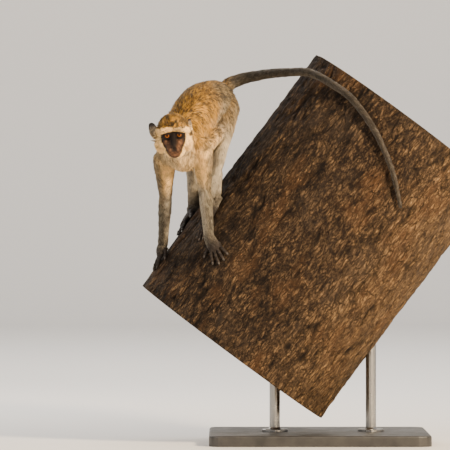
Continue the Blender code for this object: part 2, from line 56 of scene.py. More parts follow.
LEFT, RIGHT = 1, -1
SIDE_NAME = {LEFT: "left", RIGHT: "right"}
PELVIS = Vector((-0.236, -0.012, 0.777))
CHEST = Vector((-0.306, -0.196, 0.678))
HEAD = Vector((-0.3286, -0.292, 0.6985))
HEAD_PITCH, HEAD_ROLL = math.radians(12), math.radians(-4.5)
HIP = {LEFT: Vector((-0.2145, -0.035, 0.765)), RIGHT: Vector((-0.261, -0.005, 0.772))}
KNEE = {LEFT: Vector((-0.2270, -0.125, 0.664)), RIGHT: Vector((-0.2850, -0.030, 0.655))}
SHOULDER = {LEFT: Vector((-0.266, -0.222, 0.664)), RIGHT: Vector((-0.350, -0.196, 0.650))}
ELBOW = {LEFT: Vector((-0.259, -0.181, 0.579)), RIGHT: Vector((-0.348, -0.116, 0.562))}
EYE_RADIUS, LID_RADIUS = 0.0095, 0.0112
EYE_OUT, EYE_FORWARD, EYE_UP = 0.0138, 0.0290, 0.0015
HAND_AT = {LEFT: (-0.148, math.radians(44.2), math.radians(122)),
           RIGHT: (-0.226, math.radians(7), math.radians(173))}
FOOT_AT = {LEFT: (-0.067, math.radians(28), math.radians(161)),
           RIGHT: (-0.112, math.radians(-10), math.radians(136))}
WRIST_HEIGHT = {LEFT: 0.025, RIGHT: 0.019}
ANKLE_AT = {LEFT: (0.018, 0.031), RIGHT: (0.004, 0.0205)}      # forward of the heel, over the bark
TENDON_AT = {LEFT: (0.0055, 0.0050, 0), RIGHT: (0.0015, 0.0030, 0)}

# How far the skin lies inside the coat's outline
COAT_DEPTH = {"trunk": 0.0065, "shoulder": 0.0070, "upper_arm": 0.0050, "thigh": 0.0055, "neck": 0.0085,
              "crown": 0.0050}
BODY_VOXEL, SKIN_VOXEL = 0.0025, 0.0011


# ---------------------------------------------------------------- the log's surface
def bark_radius(along, turn):
    """The log's slightly swelling radius, at one place or at a row of them."""
    swell = 0.0030 * np.sin(2 * turn + 0.6) + 0.0022 * np.sin(3 * turn - 9 * along)
    return LOG_RADIUS + swell


def on_bark(along, turn, height=0.0):
    out = LOG_RIDGE * math.cos(turn) + LOG_NEAR * math.sin(turn)
    return LOG_CENTRE + LOG_AXIS * along + out * (bark_radius(along, turn) + height)


class Footing:
    """A hand or foot's own frame on the bark: forward to the digits, inward to the thumb or big toe."""

    def __init__(self, side, at):
        self.side = side
        self.along, self.turn, self.heading = at

    def point(self, forward, inward, height):
        inward *= self.side
        along = self.along + forward * math.cos(self.heading) - inward * math.sin(self.heading)
        arc = forward * math.sin(self.heading) + inward * math.cos(self.heading)
        return on_bark(along, self.turn + arc / LOG_RADIUS, height)

    def up(self, forward):
        return (self.point(forward, 0, 0.02) - self.point(forward, 0, 0)).normalized()


HAND = {side: Footing(side, HAND_AT[side]) for side in (LEFT, RIGHT)}
FOOT = {side: Footing(side, FOOT_AT[side]) for side in (LEFT, RIGHT)}
WRIST = {side: HAND[side].point(0, 0, WRIST_HEIGHT[side]) for side in (LEFT, RIGHT)}
ANKLE = {side: FOOT[side].point(ANKLE_AT[side][0], 0, ANKLE_AT[side][1]) for side in (LEFT, RIGHT)}
HEAD_TURN = Matrix.Rotation(HEAD_ROLL, 3, "Y") @ Matrix.Rotation(HEAD_PITCH, 3, "X")


def in_head(out, forward, up):
    return HEAD + HEAD_TURN @ Vector((out, -forward, up))


# ---------------------------------------------------------------- clay
def smooth_path(points, steps):
    """Points on a Catmull-Rom curve through the given ones, of any length of vector."""
    last = len(points) - 1
    made = []
    for i in range(last):
        p0, p1 = points[max(i - 1, 0)], points[i]
        p2, p3 = points[i + 1], points[min(i + 2, last)]
        for k in range(steps):
            t = k / steps
            made.append(0.5 * (2 * p1 + (p2 - p0) * t + (2 * p0 - 5 * p1 + 4 * p2 - p3) * t ** 2
                               + (3 * p1 - p0 - 3 * p2 + p3) * t ** 3))
    return made + [points[last]]


def loft(clay, centres, widths, heights, up, steps=5, sides=18):
    """Adds a closed tube with oval sections, whose height lies along up and whose ends are round."""
    rows = [Vector((*c, w, h)) for c, w, h in zip(centres, widths, heights)]
    rows = smooth_path(rows, steps)
    places = [Vector(row[:3]) for row in rows]
    rings = []
    for i, row in enumerate(rows):
        ahead = (places[min(i + 1, len(rows) - 1)] - places[max(i - 1, 0)]).normalized()
        across = ahead.cross(up).normalized()
        lift = across.cross(ahead)
        rings.append([clay.verts.new(places[i] + across * (row[3] * math.cos(a))
                                     + lift * (row[4] * math.sin(a)))
                      for a in (2 * math.pi * k / sides for k in range(sides))])
    for ring, following in zip(rings, rings[1:]):
        for k in range(sides):
            clay.faces.new((ring[k - 1], ring[k], following[k], following[k - 1]))
    for ring, place, row, sign in ((rings[0], places[0], rows[0], -1), (rings[-1], places[-1], rows[-1], 1)):
        ahead = (places[1] - places[0] if sign < 0 else places[-1] - places[-2]).normalized()
        tip = clay.verts.new(place + ahead * (sign * 0.6 * min(row[3], row[4])))
        for k in range(sides):
            clay.faces.new((ring[k - 1], ring[k], tip) if sign > 0 else (ring[k], ring[k - 1], tip))


def tube(clay, centres, radii, steps=5, sides=16):
    run = (centres[-1] - centres[0]).normalized()
    loft(clay, centres, radii, radii, run.orthogonal(), steps, sides)


def ball(clay, centre, radii, turn=None):
    turn = (turn or Matrix.Identity(3)).to_4x4()
    place = Matrix.Translation(centre) @ turn @ Matrix.Diagonal((*radii, 1))
    bmesh.ops.create_icosphere(clay, subdivisions=4, radius=1, matrix=place)


def head_ball(clay, out, forward, up, radii, turn=None):
    ball(clay, in_head(out, forward, up), radii, HEAD_TURN @ (turn or Matrix.Identity(3)))


def less(radii, depth):
    return [radius - depth for radius in radii]


def linked(name, data):
    obj = bpy.data.objects.new(name, data)
    bpy.context.scene.collection.objects.link(obj)
    return obj


def to_object(name, clay):
    mesh = bpy.data.meshes.new(name)
    bmesh.ops.recalc_face_normals(clay, faces=clay.faces)
    clay.to_mesh(mesh)
    clay.free()
    return linked(name, mesh)


def apply_modifiers(obj):
    graph = bpy.context.evaluated_depsgraph_get()
    mesh = bpy.data.meshes.new_from_object(obj.evaluated_get(graph))
    obj.modifiers.clear()
    obj.data = mesh


def fuse(obj, voxel, passes):
    """Makes overlapping closed shapes one skin, and rounds the creases between them."""
    remesh = obj.modifiers.new("fuse", "REMESH")
    remesh.mode = "VOXEL"
    remesh.voxel_size = voxel
    soften = obj.modifiers.new("soften", "SMOOTH")
    soften.factor = 0.5
    soften.iterations = passes
    apply_modifiers(obj)


# ---------------------------------------------------------------- the body under the coat
def add_trunk(clay):
    """Rump to breast: arched, deep at the ribs, narrower at the loin."""
    centres = [Vector(c) for c in (
        (-0.228, 0.026, 0.788), PELVIS, (-0.254, -0.065, 0.774), (-0.275, -0.113, 0.757),
        (-0.292, -0.160, 0.722), CHEST, (-0.316, -0.228, 0.652))]
    depth = COAT_DEPTH["trunk"]
    widths = less((0.036, 0.049, 0.047, 0.050, 0.053, 0.051, 0.041), depth)
    heights = less((0.036, 0.051, 0.051, 0.056, 0.062, 0.062, 0.046), depth)
    loft(clay, centres, widths, heights, Vector((0, 0, 1)), sides=32)


def add_limbs(clay):
    for side in (LEFT, RIGHT):
        shoulder, elbow, wrist = SHOULDER[side], ELBOW[side], WRIST[side]
        hip, knee, ankle = HIP[side], KNEE[side], ANKLE[side]
        depth = COAT_DEPTH["upper_arm"]
        tube(clay, [shoulder, shoulder.lerp(elbow, 0.28), shoulder.lerp(elbow, 0.6), elbow],
             (0.0265 - depth, 0.0260 - depth, 0.0215 - depth, 0.0175 - 0.0050))
        tube(clay, [elbow, elbow.lerp(wrist, 0.28), elbow.lerp(wrist, 0.65), wrist],
             (0.0175 - 0.0050, 0.0166 - 0.0036, 0.0138 - 0.0026, 0.0125 - 0.0018))
        depth = COAT_DEPTH["thigh"]
        tube(clay, [hip, hip.lerp(knee, 0.5), knee], (0.036 - depth, 0.0295 - depth, 0.0205 - 0.0060))
        calf = knee.lerp(ankle, 0.4) + Vector((0, 0.004, 0))
        tube(clay, [knee, calf, ankle], (0.0205 - 0.0060, 0.0170 - 0.0040, 0.0125 - 0.0018))
        tendon = knee.lerp(ankle, 0.38) + Vector(TENDON_AT[side])
        tube(clay, [tendon, FOOT[side].point(0, 0, 0.0120)], (0.0125 - 0.0030, 0.0100 - 0.0015))
        fold = Vector((-0.262, -0.082, 0.752))
        groin = fold.lerp(hip.lerp(knee, 0.45), 0.55) + Vector((0, 0.0080, 0.0020))
        tube(clay, [fold, groin, hip.lerp(knee, 0.62)], (0.027, 0.0215, 0.0150))
        armpit = shoulder.lerp(hip.lerp(knee, 0.62), 0.42) + Vector((0, 0, 0.010))
        behind = shoulder + Vector((0, 0.020, 0.004))
        tube(clay, [behind, armpit, hip.lerp(knee, 0.55)], (0.018, 0.0165, 0.013))
        ball(clay, shoulder.lerp(CHEST, 0.3), less((0.030, 0.034, 0.038), COAT_DEPTH["shoulder"]))
        ball(clay, hip + Vector((0.005 * side, 0.020, 0.001)), less((0.028, 0.033, 0.036), 0.006))


def add_neck(clay):
    centres = [CHEST + Vector((0.004, 0.015, 0.015)), Vector((-0.320, -0.240, 0.690)),
               in_head(0, -0.018, -0.006)]
    depth = COAT_DEPTH["neck"]
    loft(clay, centres, less((0.048, 0.042, 0.038), depth), less((0.050, 0.044, 0.038), depth),
         Vector((0, 0, 1)))


def tail_path():
    """Up off the rump, over in a long arch to the near side, and down along the bark."""
    free = [Vector(p) for p in (
        (-0.224, 0.020, 0.800), (-0.198, 0.030, 0.822), (-0.160, 0.006, 0.834),
        (-0.1125, -0.040, 0.8405), (-0.0675, -0.090, 0.8420), (-0.0225, -0.140, 0.8385))]
    lying = ((0.2897, 46.5, 0.0118), (0.2874, 61.5, 0.0106), (0.2635, 78.5, 0.0097),
             (0.2257, 94.0, 0.0089), (0.1920, 104.5, 0.0079), (0.1576, 114.0, 0.0066))
    return free + [on_bark(along, math.radians(turn), height) for along, turn, height in lying]


def tail_radius(t):
    """The coat's outline at that share of the tail."""
    taper = 0.0104 + 0.0066 * (1 - min(t / 0.45, 1)) ** 1.3
    return taper - 0.0058 * max(0, (t - 0.45) / 0.55) ** 1.6


def add_tail(clay):
    path = tail_path()
    shares = [i / (len(path) - 1) for i in range(len(path))]
    tube(clay, path, [tail_radius(t) * (0.82 - 0.08 * t) for t in shares], steps=6)


def add_head(clay):
    """Skull, brow, muzzle and jaw. The long hair of the cheeks comes over them."""
    depth = COAT_DEPTH["crown"]
    head_ball(clay, 0, -0.006, 0.006, less((0.0385, 0.0420, 0.0385), depth))
    head_ball(clay, 0, 0.0270, 0.0122, (0.0270, 0.0090, 0.0050))
    for side in (LEFT, RIGHT):
        tilt = Matrix.Rotation(-0.35 * side, 3, "Z")
        head_ball(clay, 0.0120 * side, 0.0298, 0.0116, (0.0145, 0.0098, 0.0052), tilt)
        head_ball(clay, 0.0165 * side, 0.0265, -0.0140, (0.0118, 0.0118, 0.0122))
        head_ball(clay, EYE_OUT * side, EYE_FORWARD, EYE_UP, (LID_RADIUS,) * 3)
        head_ball(clay, 0.0215 * side, 0.0030, -0.0160, (0.0120, 0.0200, 0.0190))
        head_ball(clay, 0.0075 * side, 0.0505, -0.0275, (0.0083, 0.0098, 0.0083))
        head_ball(clay, 0.0036 * side, 0.0575, -0.0212, (0.0034, 0.0036, 0.0030))
    bridge = (((0.015, 0.005), (0.036, -0.004), (0.0510, -0.0145), (0.0575, -0.0190)),
              (0.012, 0.0082, 0.0068, 0.0056), (0.012, 0.0093, 0.0078, 0.0055))
    muzzle = (((0.005, -0.018), (0.030, -0.021), (0.0470, -0.0265), (0.0550, -0.0280)),
              (0.026, 0.0212, 0.0158, 0.0108), (0.020, 0.0168, 0.0118, 0.0083))
    jaw = (((0.000, -0.027), (0.025, -0.035), (0.042, -0.0390), (0.0495, -0.0395)),
           (0.024, 0.0190, 0.0128, 0.0083), (0.013, 0.0110, 0.0078, 0.0056))
    for line, widths, heights in (bridge, muzzle, jaw):
        loft(clay, [in_head(0, *place) for place in line], widths, heights, Vector((0, 0, 1)))


# Each ear's middle on the head, how far it turns back, and its size
EARS = {LEFT: ((0.0366, 0.0105, 0.0160), 1.05, 0.66), RIGHT: ((0.0418, 0.0060, 0.0085), 0.80, 1.0)}
EAR_TILT = {LEFT: -0.20, RIGHT: 0.14}
EAR_HALF_WIDTH, EAR_HALF_HEIGHT = 0.0140, 0.0225


def ear_turn(side):
    return Matrix.Rotation(EARS[side][1] * side, 3, "Z") @ Matrix.Rotation(EAR_TILT[side] * side, 3, "Y")


def ear_middle(side):
    out, back, up = EARS[side][0]
    return Vector((out * side, back, up))


def ear_size(side):
    return EARS[side][2]


def add_ears(clay):
    """A thin cup with a rolled rim, open to the front."""
    rings, spokes = 12, 40
    for side in (LEFT, RIGHT):
        centre = ear_middle(side)
        turn = ear_turn(side) * ear_size(side)
        faces = []
        for sheet in (1, -1):
            rows = []
            for i in range(rings + 1):
                share = i / rings
                row = []
                for k in range(spokes):
                    a = 2 * math.pi * k / spokes
                    corner = math.exp(-(((a - math.pi / 2) * -side - 0.72) / 0.42) ** 2)
                    pinch = 1 - 0.46 * max(0.0, -math.sin(a)) + 0.15 * corner
                    dish = 0.0052 * share ** 2 - 0.0040 + 0.0026 * math.exp(-((share - 0.90) / 0.09) ** 2)
                    fold = max(0, math.cos(a) * side) + 0.5 * max(0, math.sin(a))
                    dish += 0.0034 * math.exp(-((share - 0.58) / 0.11) ** 2) * fold
                    thick = 0.0013 / ear_size(side) * (1 - 0.25 * share ** 4) if i < rings else 0.0
                    x = EAR_HALF_WIDTH * share * pinch * math.cos(a)
                    tall = 0.86 * (1 + 0.13 * corner) if math.sin(a) > 0 else 0.74
                    z = EAR_HALF_HEIGHT * share * math.sin(a) * tall
                    row.append(HEAD + HEAD_TURN @ (centre + turn @ Vector((x, -dish - sheet * thick, z))))
                rows.append(row)
            faces.append(rows)
        hub = [clay.verts.new(sheet[0][0]) for sheet in faces]
        grids = [[[clay.verts.new(p) for p in row] for row in sheet[1:-1]] for sheet in faces]
        rim = [clay.verts.new(p) for p in faces[0][-1]]
        for centre_vert, grid in zip(hub, grids):
            for k in range(spokes):
                clay.faces.new((centre_vert, grid[0][k - 1], grid[0][k]))
                for inner, outer in zip(grid, grid[1:]):
                    clay.faces.new((inner[k - 1], outer[k - 1], outer[k], inner[k]))
                clay.faces.new((grid[-1][k - 1], rim[k - 1], rim[k], grid[-1][k]))
        head_ball(clay, 0.0345 * side, -0.008, 0.002, (0.0080, 0.0060, 0.0120))


# (forward, inward) of the digit's root, its length and the angle that it fans inward by
FINGERS = ((0.0245, 0.0118, 0.031, 13), (0.0265, 0.0042, 0.035, 0), (0.0255, -0.0038, 0.033, -10),
           (0.0215, -0.0112, 0.029, -22))
THUMB = (0.0090, 0.0150, 0.027, 47)
TOES = ((0.0700, 0.0098, 0.031, 10), (0.0715, 0.0032, 0.034, 3), (0.0700, -0.0034, 0.032, -4),
        (0.0665, -0.0098, 0.027, -11))
BIG_TOE = (0.0400, 0.0115, 0.032, 36)


def digit_path(footing, base, length, angle, radius, arch):
    """A straight fan line on the bark, arched at its middle joint."""
    forward, inward, height = base
    heading = math.radians(angle)
    path = []
    for share, lift in ((-0.30, height), (0.0, height + 0.2 * arch), (0.38, height * 0.55 + arch),
                        (0.72, radius * 1.15 + 0.25 * arch), (0.94, radius * 0.85)):
        reach = share * length
        path.append(footing.point(forward + reach * math.cos(heading),
                                  inward + reach * math.sin(heading), lift))
    return path


def digits():
    """(footing, base, length, angle, radius, arch) of every finger and toe."""
    made = []
    for side in (LEFT, RIGHT):
        for forward, inward, length, angle in FINGERS:
            made.append((HAND[side], (forward, inward, 0.0085), length, angle, 0.0043, 0.0035))
        forward, inward, length, angle = THUMB
        made.append((HAND[side], (forward, inward, 0.0095), length, angle, 0.0045, 0.0))
        for forward, inward, length, angle in TOES:
            made.append((FOOT[side], (forward, inward, 0.0070), length, angle, 0.0041, 0.0008))
        forward, inward, length, angle = BIG_TOE
        made.append((FOOT[side], (forward, inward, 0.0078), length, angle, 0.0047, 0.0))
    return made


def add_digits(clay):
    """Fingers and toes that thicken at the joints and end in soft pads."""
    for footing, base, length, angle, radius, arch in digits():
        path = digit_path(footing, base, length, angle, radius, arch)
        tube(clay, path, [radius * k for k in (1.00, 0.96, 0.80, 0.76, 0.58)], steps=5, sides=14)
        up = footing.up(base[0])
        for place, size in ((path[1], 1.06), (path[2], 0.98), (path[3].lerp(path[2], 0.12), 0.88)):
            ball(clay, place + up * (0.10 * radius), (radius * size,) * 3)
        ball(clay, path[4].lerp(path[3], 0.25) - up * (0.20 * radius), (radius * 0.80,) * 3)


def add_hands(clay):
    for side in (LEFT, RIGHT):
        hand = HAND[side]
        loft(clay, [WRIST[side], hand.point(0.014, 0.001, 0.0165), hand.point(0.028, 0, 0.0095)],
             (0.0112, 0.0143, 0.0138), (0.0103, 0.0088, 0.0058), hand.up(0.02))
        for forward, inward, *_ in FINGERS:
            knuckle = hand.point(forward, inward, 0.0100)
            tube(clay, [hand.point(0.006, inward * 0.45, 0.0215), hand.point(0.018, inward * 0.75, 0.0180),
                        knuckle], (0.0030, 0.0026, 0.0034), sides=10)


def add_feet(clay):
    for side in (LEFT, RIGHT):
        foot = FOOT[side]
        loft(clay, [foot.point(-0.004, 0, 0.0095), foot.point(0.018, 0, 0.0098),
                    foot.point(0.046, 0.001, 0.0088), foot.point(0.072, 0, 0.0070)],
             (0.0091, 0.0119, 0.0138, 0.0134), (0.0090, 0.0095, 0.0084, 0.0062), foot.up(0.03))
        tube(clay, [ANKLE[side], foot.point(0.022, 0, 0.0125)], (0.0104, 0.0098))
        for forward, inward, *_ in TOES:
            tube(clay, [foot.point(0.030, inward * 0.6, 0.0150), foot.point(forward, inward, 0.0095)],
                 (0.0032, 0.0034), sides=10)


def skin_object():
    clay = bmesh.new()
    add_trunk(clay)
    add_limbs(clay)
    add_neck(clay)
    add_tail(clay)
    body = to_object("body_form", clay)
    fuse(body, BODY_VOXEL, 8)
    clay = bmesh.new()
    clay.from_mesh(body.data)
    bpy.data.objects.remove(body)
    add_head(clay)
    add_ears(clay)
    add_digits(clay)
    add_hands(clay)
    add_feet(clay)
    skin = to_object("skin", clay)
    fuse(skin, SKIN_VOXEL, 3)
    return skin


# ---------------------------------------------------------------- numbers over the surface
def unit(vectors):
    return vectors / np.maximum(np.linalg.norm(vectors, axis=-1, keepdims=True), 1e-12)


def step(low, high, x):
    """0 below low and 1 above high, with a smooth rise between."""
    t = np.clip((x - low) / (high - low), 0, 1)
    return t * t * (3 - 2 * t)


def bump(x, centre, width):
    return np.exp(-((x - centre) / width) ** 2)


def mix(a, b, share):
    return a + (b - a) * share


def tint(a, b, share):
    """Mixes two colours, or a row of colours each."""
    return a + (b - a) * np.asarray(share)[..., None]


def noise(points, size, seed):
    """Smooth random numbers from 0 to 1 over space, with lumps of that size."""
    table = np.random.default_rng(seed).random((32, 32, 32))
    q = points / size
    base = np.floor(q).astype(int)
    f = q - base
    f = f * f * (3 - 2 * f)
    total = 0
    for corner in np.ndindex(2, 2, 2):
        share = np.prod(np.where(np.array(corner) == 1, f, 1 - f), axis=-1)
        i, j, k = ((base + corner) % 32).T
        total = total + share * table[i, j, k]
    return total


def along_segment(points, a, b):
    """Each point's share of the way from a to b, and its distance from the line between them."""
    t = np.clip((points - a) @ (b - a) / ((b - a) @ (b - a)), 0, 1)
    return t, np.linalg.norm(points - a - t[:, None] * (b - a), axis=1)


def from_footings(points, forwards, height):
    """Each point's distance from the nearest of these places on the hands and feet."""
    places = [footing.point(forward, 0, height) for footing in (*HAND.values(), *FOOT.values())
              for forward in forwards]
    return np.min([np.linalg.norm(points - np.array(place), axis=1) for place in places], axis=0)


def vertices_of(mesh):
    co = np.empty(len(mesh.vertices) * 3)
    mesh.vertices.foreach_get("co", co)
    return co.reshape(-1, 3)


def normals_of(mesh):
    co = np.empty(len(mesh.vertices) * 3)
    mesh.vertex_normals.foreach_get("vector", co)
    return co.reshape(-1, 3)


def set_vertices(mesh, points):
    mesh.vertices.foreach_set("co", points.astype(np.float32).ravel())
    mesh.update()


HEAD_ARRAY, TURN_ARRAY = np.array(HEAD), np.array(HEAD_TURN)


def to_head(points):
    """The points as (out, forward, up) on the head."""
    local = (points - HEAD_ARRAY) @ TURN_ARRAY
    return local * (1, -1, 1)


def from_head(local):
    return (local * (1, -1, 1)) @ TURN_ARRAY.T + HEAD_ARRAY


def turn_from_head(vectors):
    return (vectors * (1, -1, 1)) @ TURN_ARRAY.T


# ---------------------------------------------------------------- the face
MASK_UP = (-0.0500, -0.0440, -0.0350, -0.0220, -0.0100, 0.0000, 0.0050, 0.0082, 0.0100, 0.0112)
MASK_OUT = (0.0000, 0.0105, 0.0165, 0.0215, 0.0262, 0.0270, 0.0248, 0.0200, 0.0130, 0.0000)


def bare_face(local):
    """1 inside the naked mask of the face, 0 in the hair round it."""
    out, forward, up = local.T
    edge = np.interp(up, MASK_UP, MASK_OUT) - np.abs(out)
    ragged = (noise(local, 0.0022, 5) - 0.5) * 0.0022
    return step(-0.0008, 0.0010, edge + ragged) * step(0.008, 0.013, forward)


def refine_face(skin):
    """Halves the faces round the eyes, nose and mouth."""
    mesh = bmesh.new()
    mesh.from_mesh(skin.data)
    mesh.verts.ensure_lookup_table()
    local = to_head(np.array([vert.co[:] for vert in mesh.verts]))
    out, forward, up = local.T
    near = (np.abs(out) < 0.028) & (forward > 0.016) & (up > -0.047) & (up < 0.016)
    edges = [edge for edge in mesh.edges if near[edge.verts[0].index] and near[edge.verts[1].index]]
    bmesh.ops.subdivide_edges(mesh, edges=edges, cuts=1, use_grid_fill=True)
    mesh.to_mesh(skin.data)
    mesh.free()


def shape_lids(local):
    """Sets the eyes in: lids with a rim, a crease above and a soft bag below."""
    for side in (LEFT, RIGHT):
        centre = np.array((EYE_OUT * side, EYE_FORWARD, EYE_UP))
        away = local - centre
        distance = np.linalg.norm(away, axis=1)
        ray = away / np.maximum(distance, 1e-9)[:, None]
        x, z = ray[:, 0] * side * EYE_RADIUS, ray[:, 2] * EYE_RADIUS + ray[:, 0] * side * 0.0006
        height = np.where(z > 0, 0.0034, 0.0033) * np.sqrt(np.clip(1 - (x / 0.0066) ** 2, 0.02, 1))
        open_share = np.maximum(np.abs(z) / height, np.abs(x) / 0.0066)
        near = (distance < 0.0150) & (ray[:, 1] > 0.25)
        inside = near & (open_share < 1)
        lid = near & ~inside
        rim = 0.0102 + 0.0007 * bump(open_share, 1.12, 0.16)
        crease = -0.0007 * bump(z, 0.0072, 0.0009) - 0.0005 * bump(z, -0.0066, 0.0010)
        wanted = rim + 0.0010 * step(1.2, 2.2, open_share) + crease
        hold = step(2.6, 1.5, open_share)[:, None]
        on_lid = centre + ray * wanted[:, None]
        local[lid] = (local + (on_lid - local) * hold)[lid]
        local[inside] = (centre + ray * 0.0080)[inside]
    return local


def shape_face(skin):
    """Nostrils, mouth, folds and lids."""
    points = vertices_of(skin.data)
    local = to_head(points)
    lean = normals_of(skin.data) @ TURN_ARRAY * (1, -1, 1)
    out, forward, up = local.T
    spread = np.abs(out)
    front = step(0.030, 0.038, forward)

    mouth_up = -0.0352 + 0.0035 * (spread / 0.02) ** 2
    push = -0.0016 * bump(up, mouth_up, 0.0010) * step(0.026, 0.034, forward) * step(0.0225, 0.017, spread)
    push += 0.0006 * bump(up, mouth_up + 0.0022, 0.0014) * front * step(0.016, 0.011, spread)
    push += 0.0007 * bump(up, mouth_up - 0.0022, 0.0014) * front * step(0.013, 0.009, spread)
    push += -0.0006 * bump(spread, 0.0, 0.0011) * bump(up, -0.0270, 0.0040) * step(0.050, 0.056, forward)
    push += -0.0010 * bump(spread, 0.0105 + 0.20 * (-0.014 - up), 0.0016) * bump(up, -0.0190, 0.0080) * front
    push += -0.0012 * bump(spread, 0.0070, 0.0030) * bump(up, 0.0030, 0.0070) * step(0.030, 0.036, forward)
    push += 0.0008 * bump(spread, 0.0150, 0.0060) * bump(up, -0.0120, 0.0040) * step(0.028, 0.034, forward)
    local = local + lean * push[:, None]
    for side in (LEFT, RIGHT):
        for place, radius, depth in (((0.0030, 0.0598, -0.0225), 0.0019, 0.0030),
                                     ((0.0048, 0.0585, -0.0212), 0.0014, 0.0016)):
            near = np.linalg.norm(local - np.array(place) * (side, 1, 1), axis=1)
            dent = depth * np.exp(-(near / radius) ** 2)
            local = local + dent[:, None] * np.array((-0.15 * side, -0.85, 0.35))
    local = shape_lids(local)
    set_vertices(skin.data, from_head(local))


# ---------------------------------------------------------------- the coat's plan
NECK = Vector((-0.320, -0.240, 0.690))
REGIONS = ("head", "neck", "trunk", "upper_arm", "forearm", "hand", "thigh", "shank", "foot", "tail")


SPINE = [NECK, Vector((-0.292, -0.160, 0.722)), Vector((-0.254, -0.065, 0.774)), PELVIS,
         Vector((-0.228, 0.026, 0.788))]


def low_flank(points):
    """1 well below the line of the spine, 0 along it."""
    drop = np.interp(points[:, 1], [knot.y for knot in SPINE], [knot.z for knot in SPINE]) - points[:, 2]
    return step(0.006, 0.036, drop + (noise(points, 0.012, 23) - 0.5) * 0.014)


def bones():
    """(region, side, start, end, radius, hair length at each, lift, width, tufts per square mm)."""
    rows = [("head", 0, in_head(0, -0.016, 0.002), in_head(0, 0.040, -0.016), 0.034,
             0.012, 0.012, 20, 0.0010, 2.3),
            ("neck", 0, in_head(0, -0.030, -0.004), Vector((-0.314, -0.222, 0.684)), 0.036,
             0.019, 0.022, 12, 0.0012, 1.2)]
    for start, end in zip(SPINE, SPINE[1:]):
        rows.append(("trunk", 0, start, end, 0.044, 0.019, 0.019, 14, 0.0013, 0.60))
    for side in (LEFT, RIGHT):
        rows += [
            ("upper_arm", side, SHOULDER[side], ELBOW[side], 0.020, 0.016, 0.011, 9, 0.0010, 0.95),
            ("forearm", side, ELBOW[side], WRIST[side], 0.0125, 0.013, 0.007, 12, 0.00085, 1.20),
            ("hand", side, WRIST[side], HAND[side].point(0.060, 0, 0.006), 0.014,
             0.0055, 0.003, 8, 0.0006, 1.6),
            ("thigh", side, HIP[side], KNEE[side], 0.026, 0.018, 0.019, 11, 0.0010, 0.80),
            ("shank", side, KNEE[side], ANKLE[side], 0.0135, 0.016, 0.008, 12, 0.00085, 1.15),
            ("foot", side, FOOT[side].point(0.010, 0, 0.012), FOOT[side].point(0.095, 0, 0.006), 0.013,
             0.0055, 0.003, 8, 0.0006, 1.4)]
    path = tail_path()
    count = len(path) - 1
    for i in range(count):
        share = i / count
        rows.append(("tail", 0, path[i], path[i + 1], 0.80 * tail_radius(share), 0.0120 - 0.004 * share,
                     0.0120 - 0.004 * (i + 1) / count, 9, 0.00080, 0.98))
    return rows


def coat_plan(points, normals):
    """What the hair does at each point: region weights, place along each region, flow, length and more."""
    rows = bones()
    weights, shares, flow = {}, {}, np.zeros_like(points)
    numbers = np.zeros((len(points), 4))
    total = np.zeros(len(points))
    sides = np.zeros(len(points))
    flank = low_flank(points)
    tail_count, tail_done, trunk_done = sum(row[0] == "tail" for row in rows), 0, 0
    for region, side, start, end, radius, first, last, lift, width, density in rows:
        a, b = np.array(start), np.array(end)
        t, distance = along_segment(points, a, b)
        weight = (radius / np.maximum(distance, 0.2 * radius)) ** 5
        total += weight
        place = (tail_done + t) / tail_count if region == "tail" else t
        tail_done += region == "tail"
        weights[region] = weights.get(region, 0) + weight
        shares[region] = shares.get(region, 0) + weight * place
        direction = unit((b - a)[None])
        if region == "head":
            local = to_head(points)
            radial = unit(np.stack([local[:, 0], np.zeros(len(points)), local[:, 2] + 0.012], axis=1))
            back = step(0.020, -0.020, local[:, 1])[:, None]
            cheek = step(0.004, -0.012, local[:, 2])[:, None]
            direction = turn_from_head(radial * (1 - 0.55 * back) + (0, -0.75, 0) + cheek * (0, 0, -0.35))
        fall = {"neck": 0.9, "upper_arm": 0.3, "thigh": 0.3, "shank": 0.1}.get(region, 0.0)
        if region == "trunk":
            fall = (1.2, 0.75, 0.45, 0.35)[trunk_done]
            trunk_done += 1
        sideways = step(0.80, 0.25, normals[:, 2])[:, None]
        if region in ("neck", "trunk", "upper_arm", "thigh"):
            fall = fall + (1.8, 1.8, 1.8, 2.1, 1.6)[trunk_done] * step(0.05, 0.60, -normals[:, 1])[:, None]
            fall = fall + 2.2 * flank[:, None]
        flow += weight[:, None] * (direction + (0, 0, -1) * (fall * sideways))
        values = np.stack([first + (last - first) * t, np.full(len(t), lift), np.full(len(t), width),
                           np.full(len(t), density)], axis=1)
        numbers += weight[:, None] * values
        sides += weight * side
    for region in REGIONS:
        shares[region] = shares[region] / np.maximum(weights[region], 1e-12)
        weights[region] = weights[region] / total
    numbers /= total[:, None]
    flow = flow - normals * np.sum(flow * normals, axis=1)[:, None]
    return {"weights": weights, "shares": shares, "flow": unit(flow), "side": sides / total,
            "length": numbers[:, 0], "lift": numbers[:, 1], "width": numbers[:, 2], "density": numbers[:, 3]}


# ---------------------------------------------------------------- markings, and light and shade painted on the ears and the right cheek
def rgb(*values):
    return np.array(values, float)


